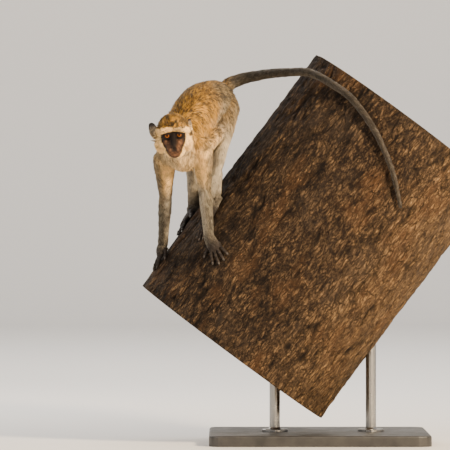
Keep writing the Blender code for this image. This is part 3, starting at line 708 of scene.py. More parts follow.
GOLD, OLIVE, CREAM = rgb(0.320, 0.158, 0.017), rgb(0.12, 0.070, 0.012), rgb(0.94, 0.61, 0.245)
BUFF, GREY, PALE = rgb(0.44, 0.26, 0.085), rgb(0.125, 0.104, 0.068), rgb(0.40, 0.335, 0.245)
GRIZZLE, TAIL_TOP, TAIL_UNDER = rgb(0.095, 0.078, 0.056), rgb(0.066, 0.053, 0.038), rgb(0.125, 0.100, 0.068)
TAIL_DARK, SKIN_DARK, SKIN_WARM = rgb(0.036, 0.027, 0.020), rgb(0.010, 0.007, 0.006), rgb(0.175, 0.084, 0.043)
HAND_SKIN, EAR_RIM = rgb(0.024, 0.0185, 0.0155), rgb(0.012, 0.010, 0.009)
EAR_HAIR = rgb(0.33, 0.265, 0.185)
# The left ear's skin is painted lighter and warmer than the right ear's dark grey: painted sunlight on the
# ear turned to the key light.
EAR_SKIN_AND_PAINTED_LIGHT = {LEFT: rgb(0.22, 0.15, 0.115), RIGHT: rgb(0.085, 0.070, 0.062)}


def head_coat(local):
    """(colour, share of dark ticks) of the hair on the head."""
    out, forward, up = local.T
    spread = np.abs(out)
    brow_top = 0.0152 - 0.14 * np.maximum(spread - 0.012, 0) + (noise(local, 0.005, 11) - 0.5) * 0.004
    above = step(-0.0012, 0.0016, up - brow_top)
    back = step(0.012, -0.006, forward) * step(-0.012, 0.002, up)
    crown = np.maximum(above, back)
    lower = step(-0.012, -0.036, forward) * (1 - crown)
    patch = step(0.36, 0.66, noise(local, 0.0046, 12))
    colour = tint(CREAM, tint(GOLD * 1.30, OLIVE, patch), crown)
    colour = tint(colour, tint(CREAM, BUFF, 0.6), lower)
    rear_and_shade = step(0.012, -0.010, forward) * step(0.0, 0.5, spread / 0.03) * (1 - crown)
    # On the right cheek, the side turned from the key light, the ruff is also painted greyer and more ticked:
    # painted shade.
    rear_and_shade = np.maximum(rear_and_shade, 0.40 * step(-0.024, -0.033, out) * (1 - crown))
    colour = tint(colour, tint(GREY, BUFF, 0.35), 0.62 * rear_and_shade)
    ticks = 0.03 + crown * (0.28 + 0.40 * patch) + 0.10 * lower + 0.06 * rear_and_shade
    return colour, np.clip(1.25 * ticks, 0, 0.8)


def markings(points, normals, plan):
    """(colour, share of dark ticks) of the coat at each point."""
    weights, shares = plan["weights"], plan["shares"]
    up = normals[:, 2]
    outward = normals[:, 0] * np.sign(plan["side"])
    colours, ticks = {}, {}
    colours["head"], ticks["head"] = head_coat(to_head(points))
    dorsal = step(-0.55, 0.35, up + (noise(points, 0.02, 21) - 0.5) * 0.4)
    rump = step(-0.015, 0.060, (points - np.array(CHEST)) @ unit(np.array(PELVIS - CHEST)) - 0.105)
    behind_ruff = bump(to_head(points)[:, 1], -0.022, 0.012) * step(0.7, 0.1, up)
    nape = tint(tint(CREAM, BUFF, 0.38), tint(GOLD, BUFF, 0.45), dorsal)
    colours["neck"] = tint(nape, GREY, 0.55 * behind_ruff)
    ticks["neck"] = 0.05 + 0.30 * step(0.35, 0.9, up) + 0.22 * behind_ruff
    lateral = np.maximum(step(0.90, 0.25, up), step(0.15, 0.70, np.abs(normals[:, 0])))
    saddle = tint(GOLD, tint(GREY, GOLD, 0.12), rump * (0.15 + 0.80 * lateral))
    colours["trunk"] = tint(tint(PALE, saddle, dorsal), tint(PALE, CREAM, 0.40), 0.95 * low_flank(points))
    ticks["trunk"] = 0.16 + 0.52 * step(0.10, 0.85, up) + 0.10 * rump
    t = shares["upper_arm"]
    outer = step(0.1, 0.85, outward)
    fore = tint(tint(CREAM, GOLD, 0.30), tint(GREY, PALE, 0.5), step(0.45, 1.0, t))
    colours["upper_arm"] = tint(fore, tint(GREY, BUFF, 0.25), outer)
    ticks["upper_arm"] = 0.05 + 0.10 * t + 0.18 * outer
    outer = step(-0.5, 0.3, outward)
    inner_arm = tint(PALE, GREY, 0.50 * shares["forearm"])
    colours["forearm"] = tint(inner_arm, tint(GREY, GRIZZLE, shares["forearm"]), outer)
    ticks["forearm"] = 0.08 + 0.24 * outer
    colours["hand"] = tint(GRIZZLE, HAND_SKIN * 1.6, step(0.05, 0.35, shares["hand"]))
    ticks["hand"] = 0.30
    t = shares["thigh"]
    top = step(0.35, 0.0, t) * step(-0.2, 0.5, up)
    haunch = np.maximum(top, step(0.85, 0.30, t) * step(-0.35, 0.25, outward))
    colours["thigh"] = tint(PALE, tint(GREY, BUFF, 0.22), 0.15 + 0.85 * haunch)
    ticks["thigh"] = 0.05 + 0.22 * haunch
    colours["shank"] = tint(tint(PALE, GREY, 0.25), GRIZZLE, step(0.5, 1.0, shares["shank"]))
    ticks["shank"] = 0.08
    colours["foot"] = tint(GRIZZLE, HAND_SKIN * 1.6, step(0.0, 0.25, shares["foot"]))
    ticks["foot"] = 0.30
    t = shares["tail"]
    under = step(0.25, -0.55, up)
    colours["tail"] = tint(tint(TAIL_TOP, TAIL_UNDER, under), TAIL_DARK, step(0.30, 0.80, t) * 0.80)
    ticks["tail"] = 0.24
    colour = sum(weights[region][:, None] * colours[region] for region in REGIONS)
    tick = sum(weights[region] * ticks[region] for region in REGIONS)
    speckle = step(0.38, 0.62, noise(points, 0.0042, 9))
    deep = np.clip(3.0 * tick, 0, 1) * (speckle - 0.45)
    return colour * (1 - 0.42 * deep)[:, None], np.clip(tick * (0.45 + 1.15 * speckle), 0, 0.85)


def on_ear(local, side):
    """(outward, through, up, share of the way to the rim) of each point in that ear's own frame."""
    flat = (local * (1, -1, 1) - np.array(ear_middle(side))) @ np.array(ear_turn(side)) / ear_size(side)
    reach = np.hypot(flat[:, 0] / EAR_HALF_WIDTH, flat[:, 2] / EAR_HALF_HEIGHT)
    return flat[:, 0] * side, flat[:, 1], flat[:, 2], reach


def digit_share(points):
    """1 on the fingers and toes beyond their roots."""
    found = np.zeros(len(points))
    for footing, base, length, angle, radius, arch in digits():
        path = [np.array(p) for p in digit_path(footing, base, length, angle, radius, arch)]
        for a, b in zip(path[1:], path[2:]):
            _, distance = along_segment(points, a, b)
            found = np.maximum(found, step(2.0 * radius, 1.35 * radius, distance))
    return found


def bare_skin(points, normals, plan):
    """(share of bare skin, its colour) at each point: face, ears, palms, soles and digits."""
    local = to_head(points)
    out, forward, up = local.T
    spread = np.abs(out)
    face = bare_face(local)
    warm = 0.80 * bump(spread, 0.0150, 0.0062) * bump(up, -0.0125, 0.0070)
    warm = np.maximum(warm, 0.75 * bump(spread, 0.0100, 0.0060) * bump(up, -0.0225, 0.0070))
    warm = np.maximum(warm, 0.62 * bump(up, -0.0365, 0.0080) * step(0.030, 0.040, forward))
    warm *= 1 - 0.85 * bump(spread, 0.0, 0.0042) * step(-0.030, -0.024, up)
    warm *= 1 - 0.80 * bump(spread, 0.0, 0.0062) * bump(up, -0.0215, 0.0045)
    warm *= step(0.0070, 0.0105, np.hypot((spread - EYE_OUT) / 1.2, up - EYE_UP)) * step(0.006, 0.001, up)
    warm *= 0.55 + 0.9 * (noise(local, 0.004, 31) - 0.2)
    face_colour = tint(SKIN_DARK, SKIN_WARM, np.clip(warm, 0, 1))
    ear, ear_colour = np.zeros(len(points)), np.zeros((len(points), 3))
    for side in (LEFT, RIGHT):
        across, through, height, reach = on_ear(local, side)
        here = step(1.15, 1.05, reach) * (np.abs(through) < 0.0080) * step(-0.0125, -0.0085, across)
        # The ear's hollow is painted darker, towards the rim's black: painted shade in the recess.
        hollow_shade = bump(reach, 0.35, 0.16) * step(0.004, -0.004, height)
        rim = np.maximum(step(0.70, 0.95, reach), step(0.006, 0.017, height))
        tone = tint(EAR_SKIN_AND_PAINTED_LIGHT[side], EAR_RIM, np.clip(rim + 0.7 * hollow_shade, 0, 1))
        ear_colour = tint(ear_colour, tone, here)
        ear = np.maximum(ear, here)
    weights, shares = plan["weights"], plan["shares"]
    digit = weights["hand"] * step(0.10, 0.45, shares["hand"])
    digit = digit + weights["foot"] * step(0.02, 0.25, shares["foot"])
    digit += weights["hand"] * step(0.0, -0.5, normals @ np.array(HAND[LEFT].up(0.02)))
    bare = np.maximum.reduce([face * weights["head"] * 1.6, ear, digit, digit_share(points)])
    bare = np.clip(bare, 0, 1)
    knuckle = noise(points, 0.0035, 41)[:, None] * 0.9 + 0.55
    colour = tint(HAND_SKIN * knuckle, face_colour, np.clip(weights["head"] * 3, 0, 1))
    return bare, tint(colour, ear_colour, ear), ear


# ---------------------------------------------------------------- tufts
GROUPS = ("head", "neck", "breast", "back", "rump", "arm_left", "arm_right", "leg_left", "leg_right", "tail")
COAT_SEED = 7
PER_SQUARE_MM = 1e6
SKIN_SEARCH = 0.06                      # how far over the skin a hair's point is looked for
LOWEST_HAIR, HIGHEST_TIP = 0.0004, 0.0120
ROOT_DEPTH = 0.0008
HALF_PATCH = 0.0015                     # of a tuft's own patch in the UV map


def group_of(points, plan):
    """The number of the coat piece that each point belongs to."""
    weights = np.stack([plan["weights"][region] for region in REGIONS], axis=1)
    region = np.array(REGIONS)[weights.argmax(axis=1)]
    left = plan["side"] > 0
    group = np.full(len(points), GROUPS.index("neck"))
    group[region == "head"] = GROUPS.index("head")
    along = (points - np.array(CHEST)) @ unit(np.array(PELVIS - CHEST))
    trunk = region == "trunk"
    group[trunk] = GROUPS.index("back")
    group[trunk & (along < 0.045)] = GROUPS.index("breast")
    group[trunk & (along > 0.125)] = GROUPS.index("rump")
    for names, limb in ((("upper_arm", "forearm", "hand"), "arm"), (("thigh", "shank", "foot"), "leg")):
        here = np.isin(region, names)
        group[here & left] = GROUPS.index(f"{limb}_left")
        group[here & ~left] = GROUPS.index(f"{limb}_right")
    group[region == "tail"] = GROUPS.index("tail")
    return group


def bark_clearance(points):
    """How far each point is over the bark."""
    local = points - np.array(LOG_CENTRE)
    across, up = local @ np.array(LOG_NEAR), local @ np.array(LOG_RIDGE)
    return np.hypot(across, up) - LOG_RADIUS


def unwrapped(points, faces):
    """UVs of every face corner, from an unwrap of just these faces of the skin."""
    used, index = np.unique(faces, return_inverse=True)
    mesh = bpy.data.meshes.new("unwrap")
    mesh.from_pydata(points[used].tolist(), [], index.reshape(-1, 3).tolist())
    obj = linked("unwrap", mesh)
    bpy.context.view_layer.objects.active = obj
    obj.select_set(True)
    bpy.ops.object.mode_set(mode="EDIT")
    bpy.ops.mesh.select_all(action="SELECT")
    bpy.ops.uv.smart_project(angle_limit=math.radians(70), island_margin=0.004)
    bpy.ops.object.mode_set(mode="OBJECT")
    uv = np.empty(len(mesh.loops) * 2)
    mesh.uv_layers.active.data.foreach_get("uv", uv)
    bpy.data.objects.remove(obj)
    return uv.reshape(-1, 3, 2)


def pressed(points, tree, most):
    """The points, no higher over the skin than they may be, and never under it."""
    moved = points.copy()
    for i, point in enumerate(points.tolist()):
        place, normal, _, _ = tree.find_nearest(point, SKIN_SEARCH)
        if place is not None:
            height = (Vector(point) - place).dot(normal)
            moved[i] = place + normal * min(max(height, LOWEST_HAIR), most[i])
    return moved


def tuft_mesh(name, roots, normals, flow, length, width, lift, uv, hair, tree):
    """One mesh of solid tufts: a flat underside, a bent ridge and a point."""
    n = len(roots)
    side = unit(np.cross(normals, flow))
    low, high = lift[:, None], (lift * 0.30)[:, None]
    half = 0.5 * length[:, None]
    middle = roots + half * (flow * np.cos(low) + normals * np.sin(low))
    tip = middle + half * (flow * np.cos(high) + normals * np.sin(high))
    rise = length * np.sin(lift)
    middle = pressed(middle, tree, (0.50 * rise + 0.0007).tolist())
    tip = pressed(tip, tree, np.minimum(0.80 * rise + 0.0010, HIGHEST_TIP).tolist())
    root = roots - normals * ROOT_DEPTH
    points = np.empty((n, 5, 3))
    points[:, 0] = root - side * (0.5 * width)[:, None]
    points[:, 1] = root + side * (0.5 * width)[:, None]
    points[:, 2] = root + normals * (0.5 * width)[:, None]
    points[:, 3] = middle + normals * (0.30 * width)[:, None] + side * (hair["bend"] * width)[:, None]
    points[:, 4] = tip
    pattern = np.array(((1, 0, 4), (1, 2, 3), (1, 3, 4), (2, 0, 3), (0, 4, 3), (2, 1, 0)))
    loops = (np.arange(n)[:, None] * 5 + pattern.ravel()).ravel().astype(np.int32)
    starts = np.arange(0, len(loops), 3, dtype=np.int32)
    mesh = bpy.data.meshes.new(name)
    mesh.vertices.add(n * 5)
    mesh.loops.add(len(loops))
    mesh.polygons.add(len(starts))
    mesh.vertices.foreach_set("co", points.astype(np.float32).ravel())
    mesh.loops.foreach_set("vertex_index", loops)
    mesh.polygons.foreach_set("loop_start", starts)
    mesh.update(calc_edges=True)
    mesh.shade_smooth()
    patch = np.array(((-1, -1), (1, -1), (0, -0.4), (0, 0.3), (0, 1))) * HALF_PATCH
    corner = (uv[:, None] + patch).reshape(-1, 2)[loops]
    mesh.uv_layers.new(name="OFBake").data.foreach_set("uv", corner.astype(np.float32).ravel())
    coat = np.ones((n, 5, 4))
    coat[:, :, :3] = hair["colour"][:, None]
    add_colours(mesh, "coat", coat.reshape(-1, 4))
    strand = np.ones((n, 5, 4))
    strand[:, :, 0] = (0, 0, 0, 0.5, 1)
    strand[:, :, 1] = hair["random"][:, None]
    strand[:, :, 2] = hair["tick"][:, None]
    add_colours(mesh, "strand", strand.reshape(-1, 4))
    return linked(name, mesh)


def add_colours(mesh, name, values):
    layer = mesh.color_attributes.new(name, "FLOAT_COLOR", "POINT")
    layer.data.foreach_set("color", values.astype(np.float32).ravel())


def grow_coat(skin, material):
    """Sows tufts over the skin, as thick, long and tilted as its plan says."""
    mesh = skin.data
    mesh.calc_loop_triangles()
    points, normals = vertices_of(mesh), normals_of(mesh)
    faces = np.empty(len(mesh.loop_triangles) * 3, np.int32)
    mesh.loop_triangles.foreach_get("vertices", faces)
    faces = faces.reshape(-1, 3)
    corners = points[faces]
    middle = corners.mean(axis=1)
    face_normal = unit(normals[faces].mean(axis=1))
    edges = corners[:, 1:] - corners[:, :1]
    area = 0.5 * np.linalg.norm(np.cross(edges[:, 0], edges[:, 1]), axis=1)
    plan = coat_plan(middle, face_normal)
    bare, _, ear = bare_skin(middle, face_normal, plan)
    local = to_head(middle)
    in_mouth = (local[:, 1] > 0.012) & (bare > 0.5)
    density = plan["density"] * np.clip(1 - bare, 0, 1) * PER_SQUARE_MM
    furred = np.zeros(len(middle))
    for side in (LEFT, RIGHT):
        across, _, height, reach = on_ear(local, side)
        inner = step(0.90, 0.70, reach) * step(0.013, 0.004, height) * (face_normal[:, 1] < -0.1)
        furred = np.maximum(furred, 1.9 * inner + 2.0 * (face_normal[:, 1] > 0.2) * step(0.95, 0.80, reach))
    density = np.where(ear > 0.05, furred * PER_SQUARE_MM, density)
    density *= step(-0.0005, 0.0010, bark_clearance(middle)) * ~in_mouth
    group = group_of(middle, plan)
    rng = np.random.default_rng(COAT_SEED)
    tree = BVHTree.FromPolygons(points.tolist(), faces.tolist())
    made = []
    for number, name in enumerate(GROUPS):
        chosen = np.flatnonzero(group == number)
        expected = density[chosen] * area[chosen]
        count = int(expected.sum())
        pick = rng.choice(len(chosen), size=count, p=expected / expected.sum())
        weight = rng.dirichlet((1, 1, 1), size=count)
        uv = unwrapped(points, faces[chosen])[pick]
        which = faces[chosen][pick]
        roots = np.einsum("nk,nkj->nj", weight, points[which])
        lean = unit(np.einsum("nk,nkj->nj", weight, normals[which]))
        root_uv = np.einsum("nk,nkj->nj", weight, uv)
        made.append(make_tufts(name, roots, lean, root_uv, rng, tree))
        made[-1].data.materials.append(material)
        print(f"coat_{name}: {count} tufts")
    return made


def head_hair(local):
    """Length and lift of the hair on the head: short at the mask, long on the cheeks."""
    out, forward, up = local.T
    spread = np.abs(out)
    from_mask = np.maximum(spread - np.interp(up, MASK_UP, MASK_OUT), 0) * (forward > 0.0)
    brow = step(0.0250, 0.0200, up) * step(0.009, 0.011, up) * step(0.012, 0.020, forward)
    cheek = step(0.010, -0.004, up) * step(0.0, 0.010, from_mask)
    length = 0.0115 + 0.0085 * cheek - 0.0045 * brow + 0.004 * step(-0.034, -0.044, up)
    length *= 0.50 + 0.50 * step(0.0, 0.006, np.where(up < 0.012, from_mask, 0.01))
    beard = step(-0.020, -0.030, out) * step(0.016, 0.006, up) * step(-0.034, -0.022, up)
    length += 0.0020 * beard * step(-0.02, 0.0, forward)
    lift = 20 + 16 * cheek * step(-0.012, 0.012, forward) + 12 * brow
    return length, lift


def make_tufts(name, roots, lean, uv, rng, tree):
    """Gives the tufts at these roots their direction, size and colour."""
    n = len(roots)
    plan = coat_plan(roots, lean)
    colour, ticks = markings(roots, lean, plan)
    local = to_head(roots)
    length_on_head, lift_on_head = head_hair(local)
    head = plan["weights"]["head"]
    length = mix(plan["length"], length_on_head, head) * (0.75 + 0.5 * rng.random(n))
    lift = np.radians(mix(plan["lift"], lift_on_head, head))
    width = plan["width"] * (0.6 + 0.8 * rng.random(n))
    below = step(0.1, -0.6, lean[:, 2]) * (plan["weights"]["trunk"] + plan["weights"]["neck"])
    length *= 1 + 0.20 * below
    for side in (LEFT, RIGHT):
        _, through, height, reach = on_ear(local, side)
        beside = step(1.9, 1.25, reach) * (np.abs(through) < 0.016) * step(-0.006, 0.006, height)
        there = step(1.15, 0.95, reach) * (np.abs(through) < 0.009)
        length *= (1 - 0.55 * beside) * (1 - 0.25 * there)
        width *= 1 - 0.45 * there
        lift *= 1 - 0.60 * there
        colour = tint(colour, tint(EAR_HAIR, CREAM, 0.5 * step(0.004, -0.010, height)), 0.85 * there)
    lock = noise(roots, 0.007, 3) - 0.5 + 0.6 * (noise(roots, 0.016, 4) - 0.5)
    sway = 0.55 * (0.9 * lock + 0.22 * rng.standard_normal(n))
    flow = unit(plan["flow"] + np.cross(lean, plan["flow"]) * sway[:, None])
    lift = np.clip(lift * (0.55 + 0.9 * rng.random(n)) + 0.20 * (noise(roots, 0.009, 6) - 0.5), 0.03, 1.2)
    clear = bark_clearance(roots + flow * length[:, None] + lean * (np.sin(lift) * length * 0.6)[:, None])
    length = np.where(clear < 0.0005, np.maximum(length + (clear - 0.0005) * 1.5, 0.25 * length), length)
    shade = 0.72 + 0.52 * rng.random(n) + 0.55 * (noise(roots, 0.0075, 8) - 0.5)
    hair = {"colour": colour * shade[:, None], "random": rng.random(n),
            "tick": (rng.random(n) < ticks).astype(float), "bend": rng.uniform(-0.8, 0.8, n)}
    return tuft_mesh(f"coat_{name}", roots, lean, flow, length, width, lift, uv, hair, tree)


# ---------------------------------------------------------------- materials
class Look:
    """A material and short ways to add its nodes."""

    def __init__(self, name):
        self.material = bpy.data.materials.new(name)
        self.material.use_nodes = True
        self.tree = self.material.node_tree
        self.shader = self.tree.nodes["Principled BSDF"]

    def add(self, kind, inputs=None, **settings):
        node = self.tree.nodes.new("ShaderNode" + kind)
        for key, value in settings.items():
            setattr(node, key, value)
        for key, value in (inputs or {}).items():
            self.put(node.inputs[key], value)
        return node

    def put(self, socket, value):
        if isinstance(value, bpy.types.NodeSocket):
            self.tree.links.new(value, socket)
        elif isinstance(value, (tuple, list)) and len(value) == 3 and len(socket.default_value) == 4:
            socket.default_value = (*value, 1)
        else:
            socket.default_value = value

    def set(self, **inputs):
        for key, value in inputs.items():
            self.put(self.shader.inputs[key.replace("_", " ")], value)

    def math(self, operation, a, b=0.0, clamp=False):
        return self.add("Math", {0: a, 1: b}, operation=operation, use_clamp=clamp).outputs[0]

    def times(self, a, b):
        return self.math("MULTIPLY", a, b)

    def plus(self, a, b):
        return self.math("ADD", a, b)

    def polar(self, place):
        """Distance from Z, and the angle round it."""
        squares = [self.math("POWER", place[axis], 2) for axis in "XY"]
        return self.math("SQRT", self.plus(*squares)), self.math("ARCTAN2", place["Y"], place["X"])

    def parts(self, vector):
        return self.add("SeparateXYZ", {0: vector}).outputs

    def grey(self, value):
        return self.add("CombineColor", {0: value, 1: value, 2: value}).outputs[0]

    def span(self, value, low, high, out_low=0.0, out_high=1.0):
        return self.add("MapRange", {"Value": value, "From Min": low, "From Max": high, "To Min": out_low,
                                     "To Max": out_high}).outputs["Result"]

    def blend(self, a, b, share, mode="MIX"):
        node = self.add("Mix", data_type="RGBA", blend_type=mode)
        self.put(node.inputs[0], share)
        self.put(node.inputs[6], a)
        self.put(node.inputs[7], b)
        return node.outputs[2]

    def blend_value(self, a, b, share):
        return self.add("Mix", {0: share, 2: a, 3: b}, data_type="FLOAT").outputs[0]

    def ramp(self, value, *stops):
        node = self.add("ValToRGB", {"Fac": value})
        ramp = node.color_ramp
        while len(ramp.elements) < len(stops):
            ramp.elements.new(0.5)
        for element, (place, colour) in zip(ramp.elements, stops):
            element.position = place
            element.color = (*colour, 1)
        return node.outputs["Color"]

    def space(self, sizes=(1, 1, 1), turn=(0, 0, 0), at=(0, 0, 0)):
        """Object coordinates about a place, turned, with lumps of the given sizes."""
        coordinates = self.add("TexCoord").outputs["Object"]
        return self.add("Mapping", {"Vector": coordinates, "Location": at, "Rotation": turn, "Scale": sizes},
                        vector_type="TEXTURE").outputs[0]

    def noise(self, sizes, detail=3.0, rough=0.55, turn=(0, 0, 0), **inputs):
        sizes = (sizes,) * 3 if isinstance(sizes, float) else sizes
        space = self.space(sizes, turn)
        return self.add("TexNoise", {"Vector": space, "Scale": 1.0, "Detail": detail, "Roughness": rough,
                                     **inputs}).outputs["Fac"]

    def cells(self, sizes, feature="F1", turn=(0, 0, 0), random=1.0):
        sizes = (sizes,) * 3 if isinstance(sizes, float) else sizes
        return self.add("TexVoronoi", {"Vector": self.space(sizes, turn), "Scale": 1.0, "Randomness": random},
                        feature=feature).outputs["Distance"]

    def cracks(self, sizes, turn):
        """Distance from the wavering edges of long cells."""
        space = self.space(sizes, turn)
        sway = self.add("TexNoise", {"Vector": space, "Scale": 0.9, "Detail": 2.0}).outputs["Color"]
        moved = self.add("VectorMath", {0: sway, 1: (1.1, 1.1, 1.1), 2: space}, operation="MULTIPLY_ADD")
        return self.add("TexVoronoi", {"Vector": moved.outputs[0], "Scale": 1.0},
                        feature="DISTANCE_TO_EDGE").outputs["Distance"]

    def channels(self, name):
        colour = self.add("Attribute", attribute_name=name).outputs["Color"]
        return colour, self.add("SeparateColor", {"Color": colour}).outputs

    def bump(self, height, distance, strength=1.0):
        made = self.add("Bump", {"Height": height, "Distance": distance, "Strength": strength})
        self.set(Normal=made.outputs[0])


def fur_look():
    """Hair that is dark at the root; a ticked strand turns black along its outer half."""
    look = Look("fur")
    coat, _ = look.channels("coat")
    _, strand = look.channels("strand")
    along, chance, tick = strand["Red"], strand["Green"], strand["Blue"]
    shade = look.span(along, 0.0, 0.60, 0.45, 1.06)
    colour = look.blend(coat, look.grey(shade), 1.0, "MULTIPLY")
    fine = look.noise(0.0016, 2.0)
    colour = look.blend(colour, (0.02, 0.014, 0.010), look.span(fine, 0.58, 0.80, 0.0, 0.35))
    colour = look.blend(colour, (1.0, 0.93, 0.80), look.span(chance, 0.80, 1.0, 0.0, 0.10))
    band = look.times(look.span(along, 0.36, 0.50), look.span(along, 0.94, 0.80))
    dark = look.times(tick, band)
    colour = look.blend(colour, (0.022, 0.017, 0.013), look.times(dark, 0.86))
    look.set(Base_Color=colour, Roughness=look.span(fine, 0.2, 0.8, 0.50, 0.68), Sheen_Weight=0.04)
    look.set(Specular_IOR_Level=0.20)
    look.bump(fine, 0.0003, 0.5)
    return look.material


def skin_look():
    """Naked skin with pores and wrinkles where the coat leaves it bare, matted underfur elsewhere."""
    look = Look("skin")
    coat, _ = look.channels("coat")
    _, bare = look.channels("bare")
    share = bare["Red"]
    blotch = look.noise(0.0030, 4.0, 0.6)
    pores = look.cells(0.0009)
    wrinkle = look.noise((0.0022, 0.0022, 0.0006), 3.0)
    speck = look.span(blotch, 0.3, 0.7, 0.72, 1.22)
    naked = look.blend(coat, look.grey(speck), 1.0, "MULTIPLY")
    streak = look.noise((0.0012, 0.0012, 0.0060), 3.0)
    under = look.blend(coat, (0.05, 0.036, 0.025), look.span(streak, 0.35, 0.75, 0.20, 0.62))
    look.set(Base_Color=look.blend(under, naked, share),
             Roughness=look.blend_value(0.85, look.span(blotch, 0.3, 0.7, 0.60, 0.80), share))
    look.set(Specular_IOR_Level=0.12)
    fine = look.plus(look.times(pores, 0.6), wrinkle)
    height = look.blend_value(look.times(streak, 2.2), fine, share)
    look.bump(height, 0.0005, 0.75)
    return look.material


def eye_look():
    """Black pupil, streaked amber iris with a dark ring, and brown beyond; the object's Z looks out."""
    look = Look("eye")
    away, angle = look.polar(look.parts(look.add("TexCoord").outputs["Object"]))
    reach = look.math("DIVIDE", away, EYE_RADIUS)
    ray = look.add("CombineXYZ", {0: look.times(angle, 9.0), 1: look.times(reach, 1.6)})
    streak = look.add("TexNoise", {"Vector": ray.outputs[0], "Scale": 1.0, "Detail": 3.0}).outputs["Fac"]
    reach = look.plus(reach, look.times(look.math("SUBTRACT", streak, 0.5), 0.05))
    ring = look.ramp(reach, (0.0, (0.002, 0.002, 0.002)), (0.24, (0.003, 0.002, 0.002)),
                     (0.27, (0.10, 0.030, 0.004)), (0.36, (0.34, 0.115, 0.014)), (0.43, (0.11, 0.030, 0.005)),
                     (0.52, (0.015, 0.007, 0.005)), (0.60, (0.030, 0.017, 0.012)),
                     (1.0, (0.035, 0.02, 0.015)))
    dark = look.span(streak, 0.35, 0.65, 0.0, 0.45)
    look.set(Base_Color=look.blend(ring, (0.05, 0.014, 0.004), dark), Roughness=0.60, Coat_Weight=0.12,
             Coat_Roughness=0.03)
    look.set(Specular_IOR_Level=0.02)
    return look.material


def nail_look():
    look = Look("nail")
    grain = look.noise((0.0010, 0.0040, 0.0040), 3.0)
    look.set(Base_Color=look.ramp(grain, (0.3, (0.022, 0.018, 0.015)), (0.7, (0.085, 0.072, 0.062))),
             Roughness=look.span(grain, 0.3, 0.7, 0.55, 0.72))
    look.set(Specular_IOR_Level=0.18)
    look.bump(grain, 0.0002, 0.6)
    return look.material


BARK_TURN = (0, math.pi / 2 - LOG_LEAN, 0)


def sawn_wood(look, fibre):
    """Growth rings about an off-centre pith, a darker heart and cracks that run out from it."""
    pith = tuple(LOG_CENTRE + LOG_NEAR * 0.018 + LOG_RIDGE * 0.012)
    away, angle = look.polar(look.parts(look.space((1, 1, 1), BARK_TURN, pith)))
    sway = look.noise((0.11, 0.11, 2.0), 3.0, 0.5, BARK_TURN)
    reach = look.plus(away, look.times(look.math("SUBTRACT", sway, 0.5), 0.030))
    ring = look.math("SINE", look.times(reach, 2 * math.pi / 0.0085))
    years = look.add("TexNoise", {"Vector": look.add("CombineXYZ", {0: reach}).outputs[0], "Scale": 45.0,
                                  "Detail": 2.0}).outputs["Fac"]
    band = look.plus(look.span(ring, -1.0, 1.0, 0.0, 0.45), look.span(years, 0.3, 0.7, 0.0, 0.55))
    wood = look.ramp(band, (0.15, (0.13, 0.068, 0.032)), (0.45, (0.27, 0.160, 0.082)),
                     (0.85, (0.40, 0.265, 0.150)))
    heart = look.blend(wood, (0.10, 0.045, 0.020), look.span(reach, 0.150, 0.125, 0.0, 0.55))
    spoke = look.add("CombineXYZ", {0: look.times(angle, 5.0), 1: look.times(away, 5.0)})
    check = look.add("TexNoise", {"Vector": spoke.outputs[0], "Scale": 1.0, "Detail": 4.0, "Roughness": 0.6})
    split = look.math("ABSOLUTE", look.math("SUBTRACT", check.outputs["Fac"], 0.5))
    split = look.times(look.span(split, 0.012, 0.003), look.span(away, 0.02, 0.06))
    # The checks are painted dark: painted shade in the open splits.
    shaded_splits = look.blend(heart, (0.022, 0.013, 0.008), look.times(split, 0.85))
    return look.blend(shaded_splits, (0.07, 0.040, 0.022), look.span(fibre, 0.52, 0.72, 0.0, 0.55))


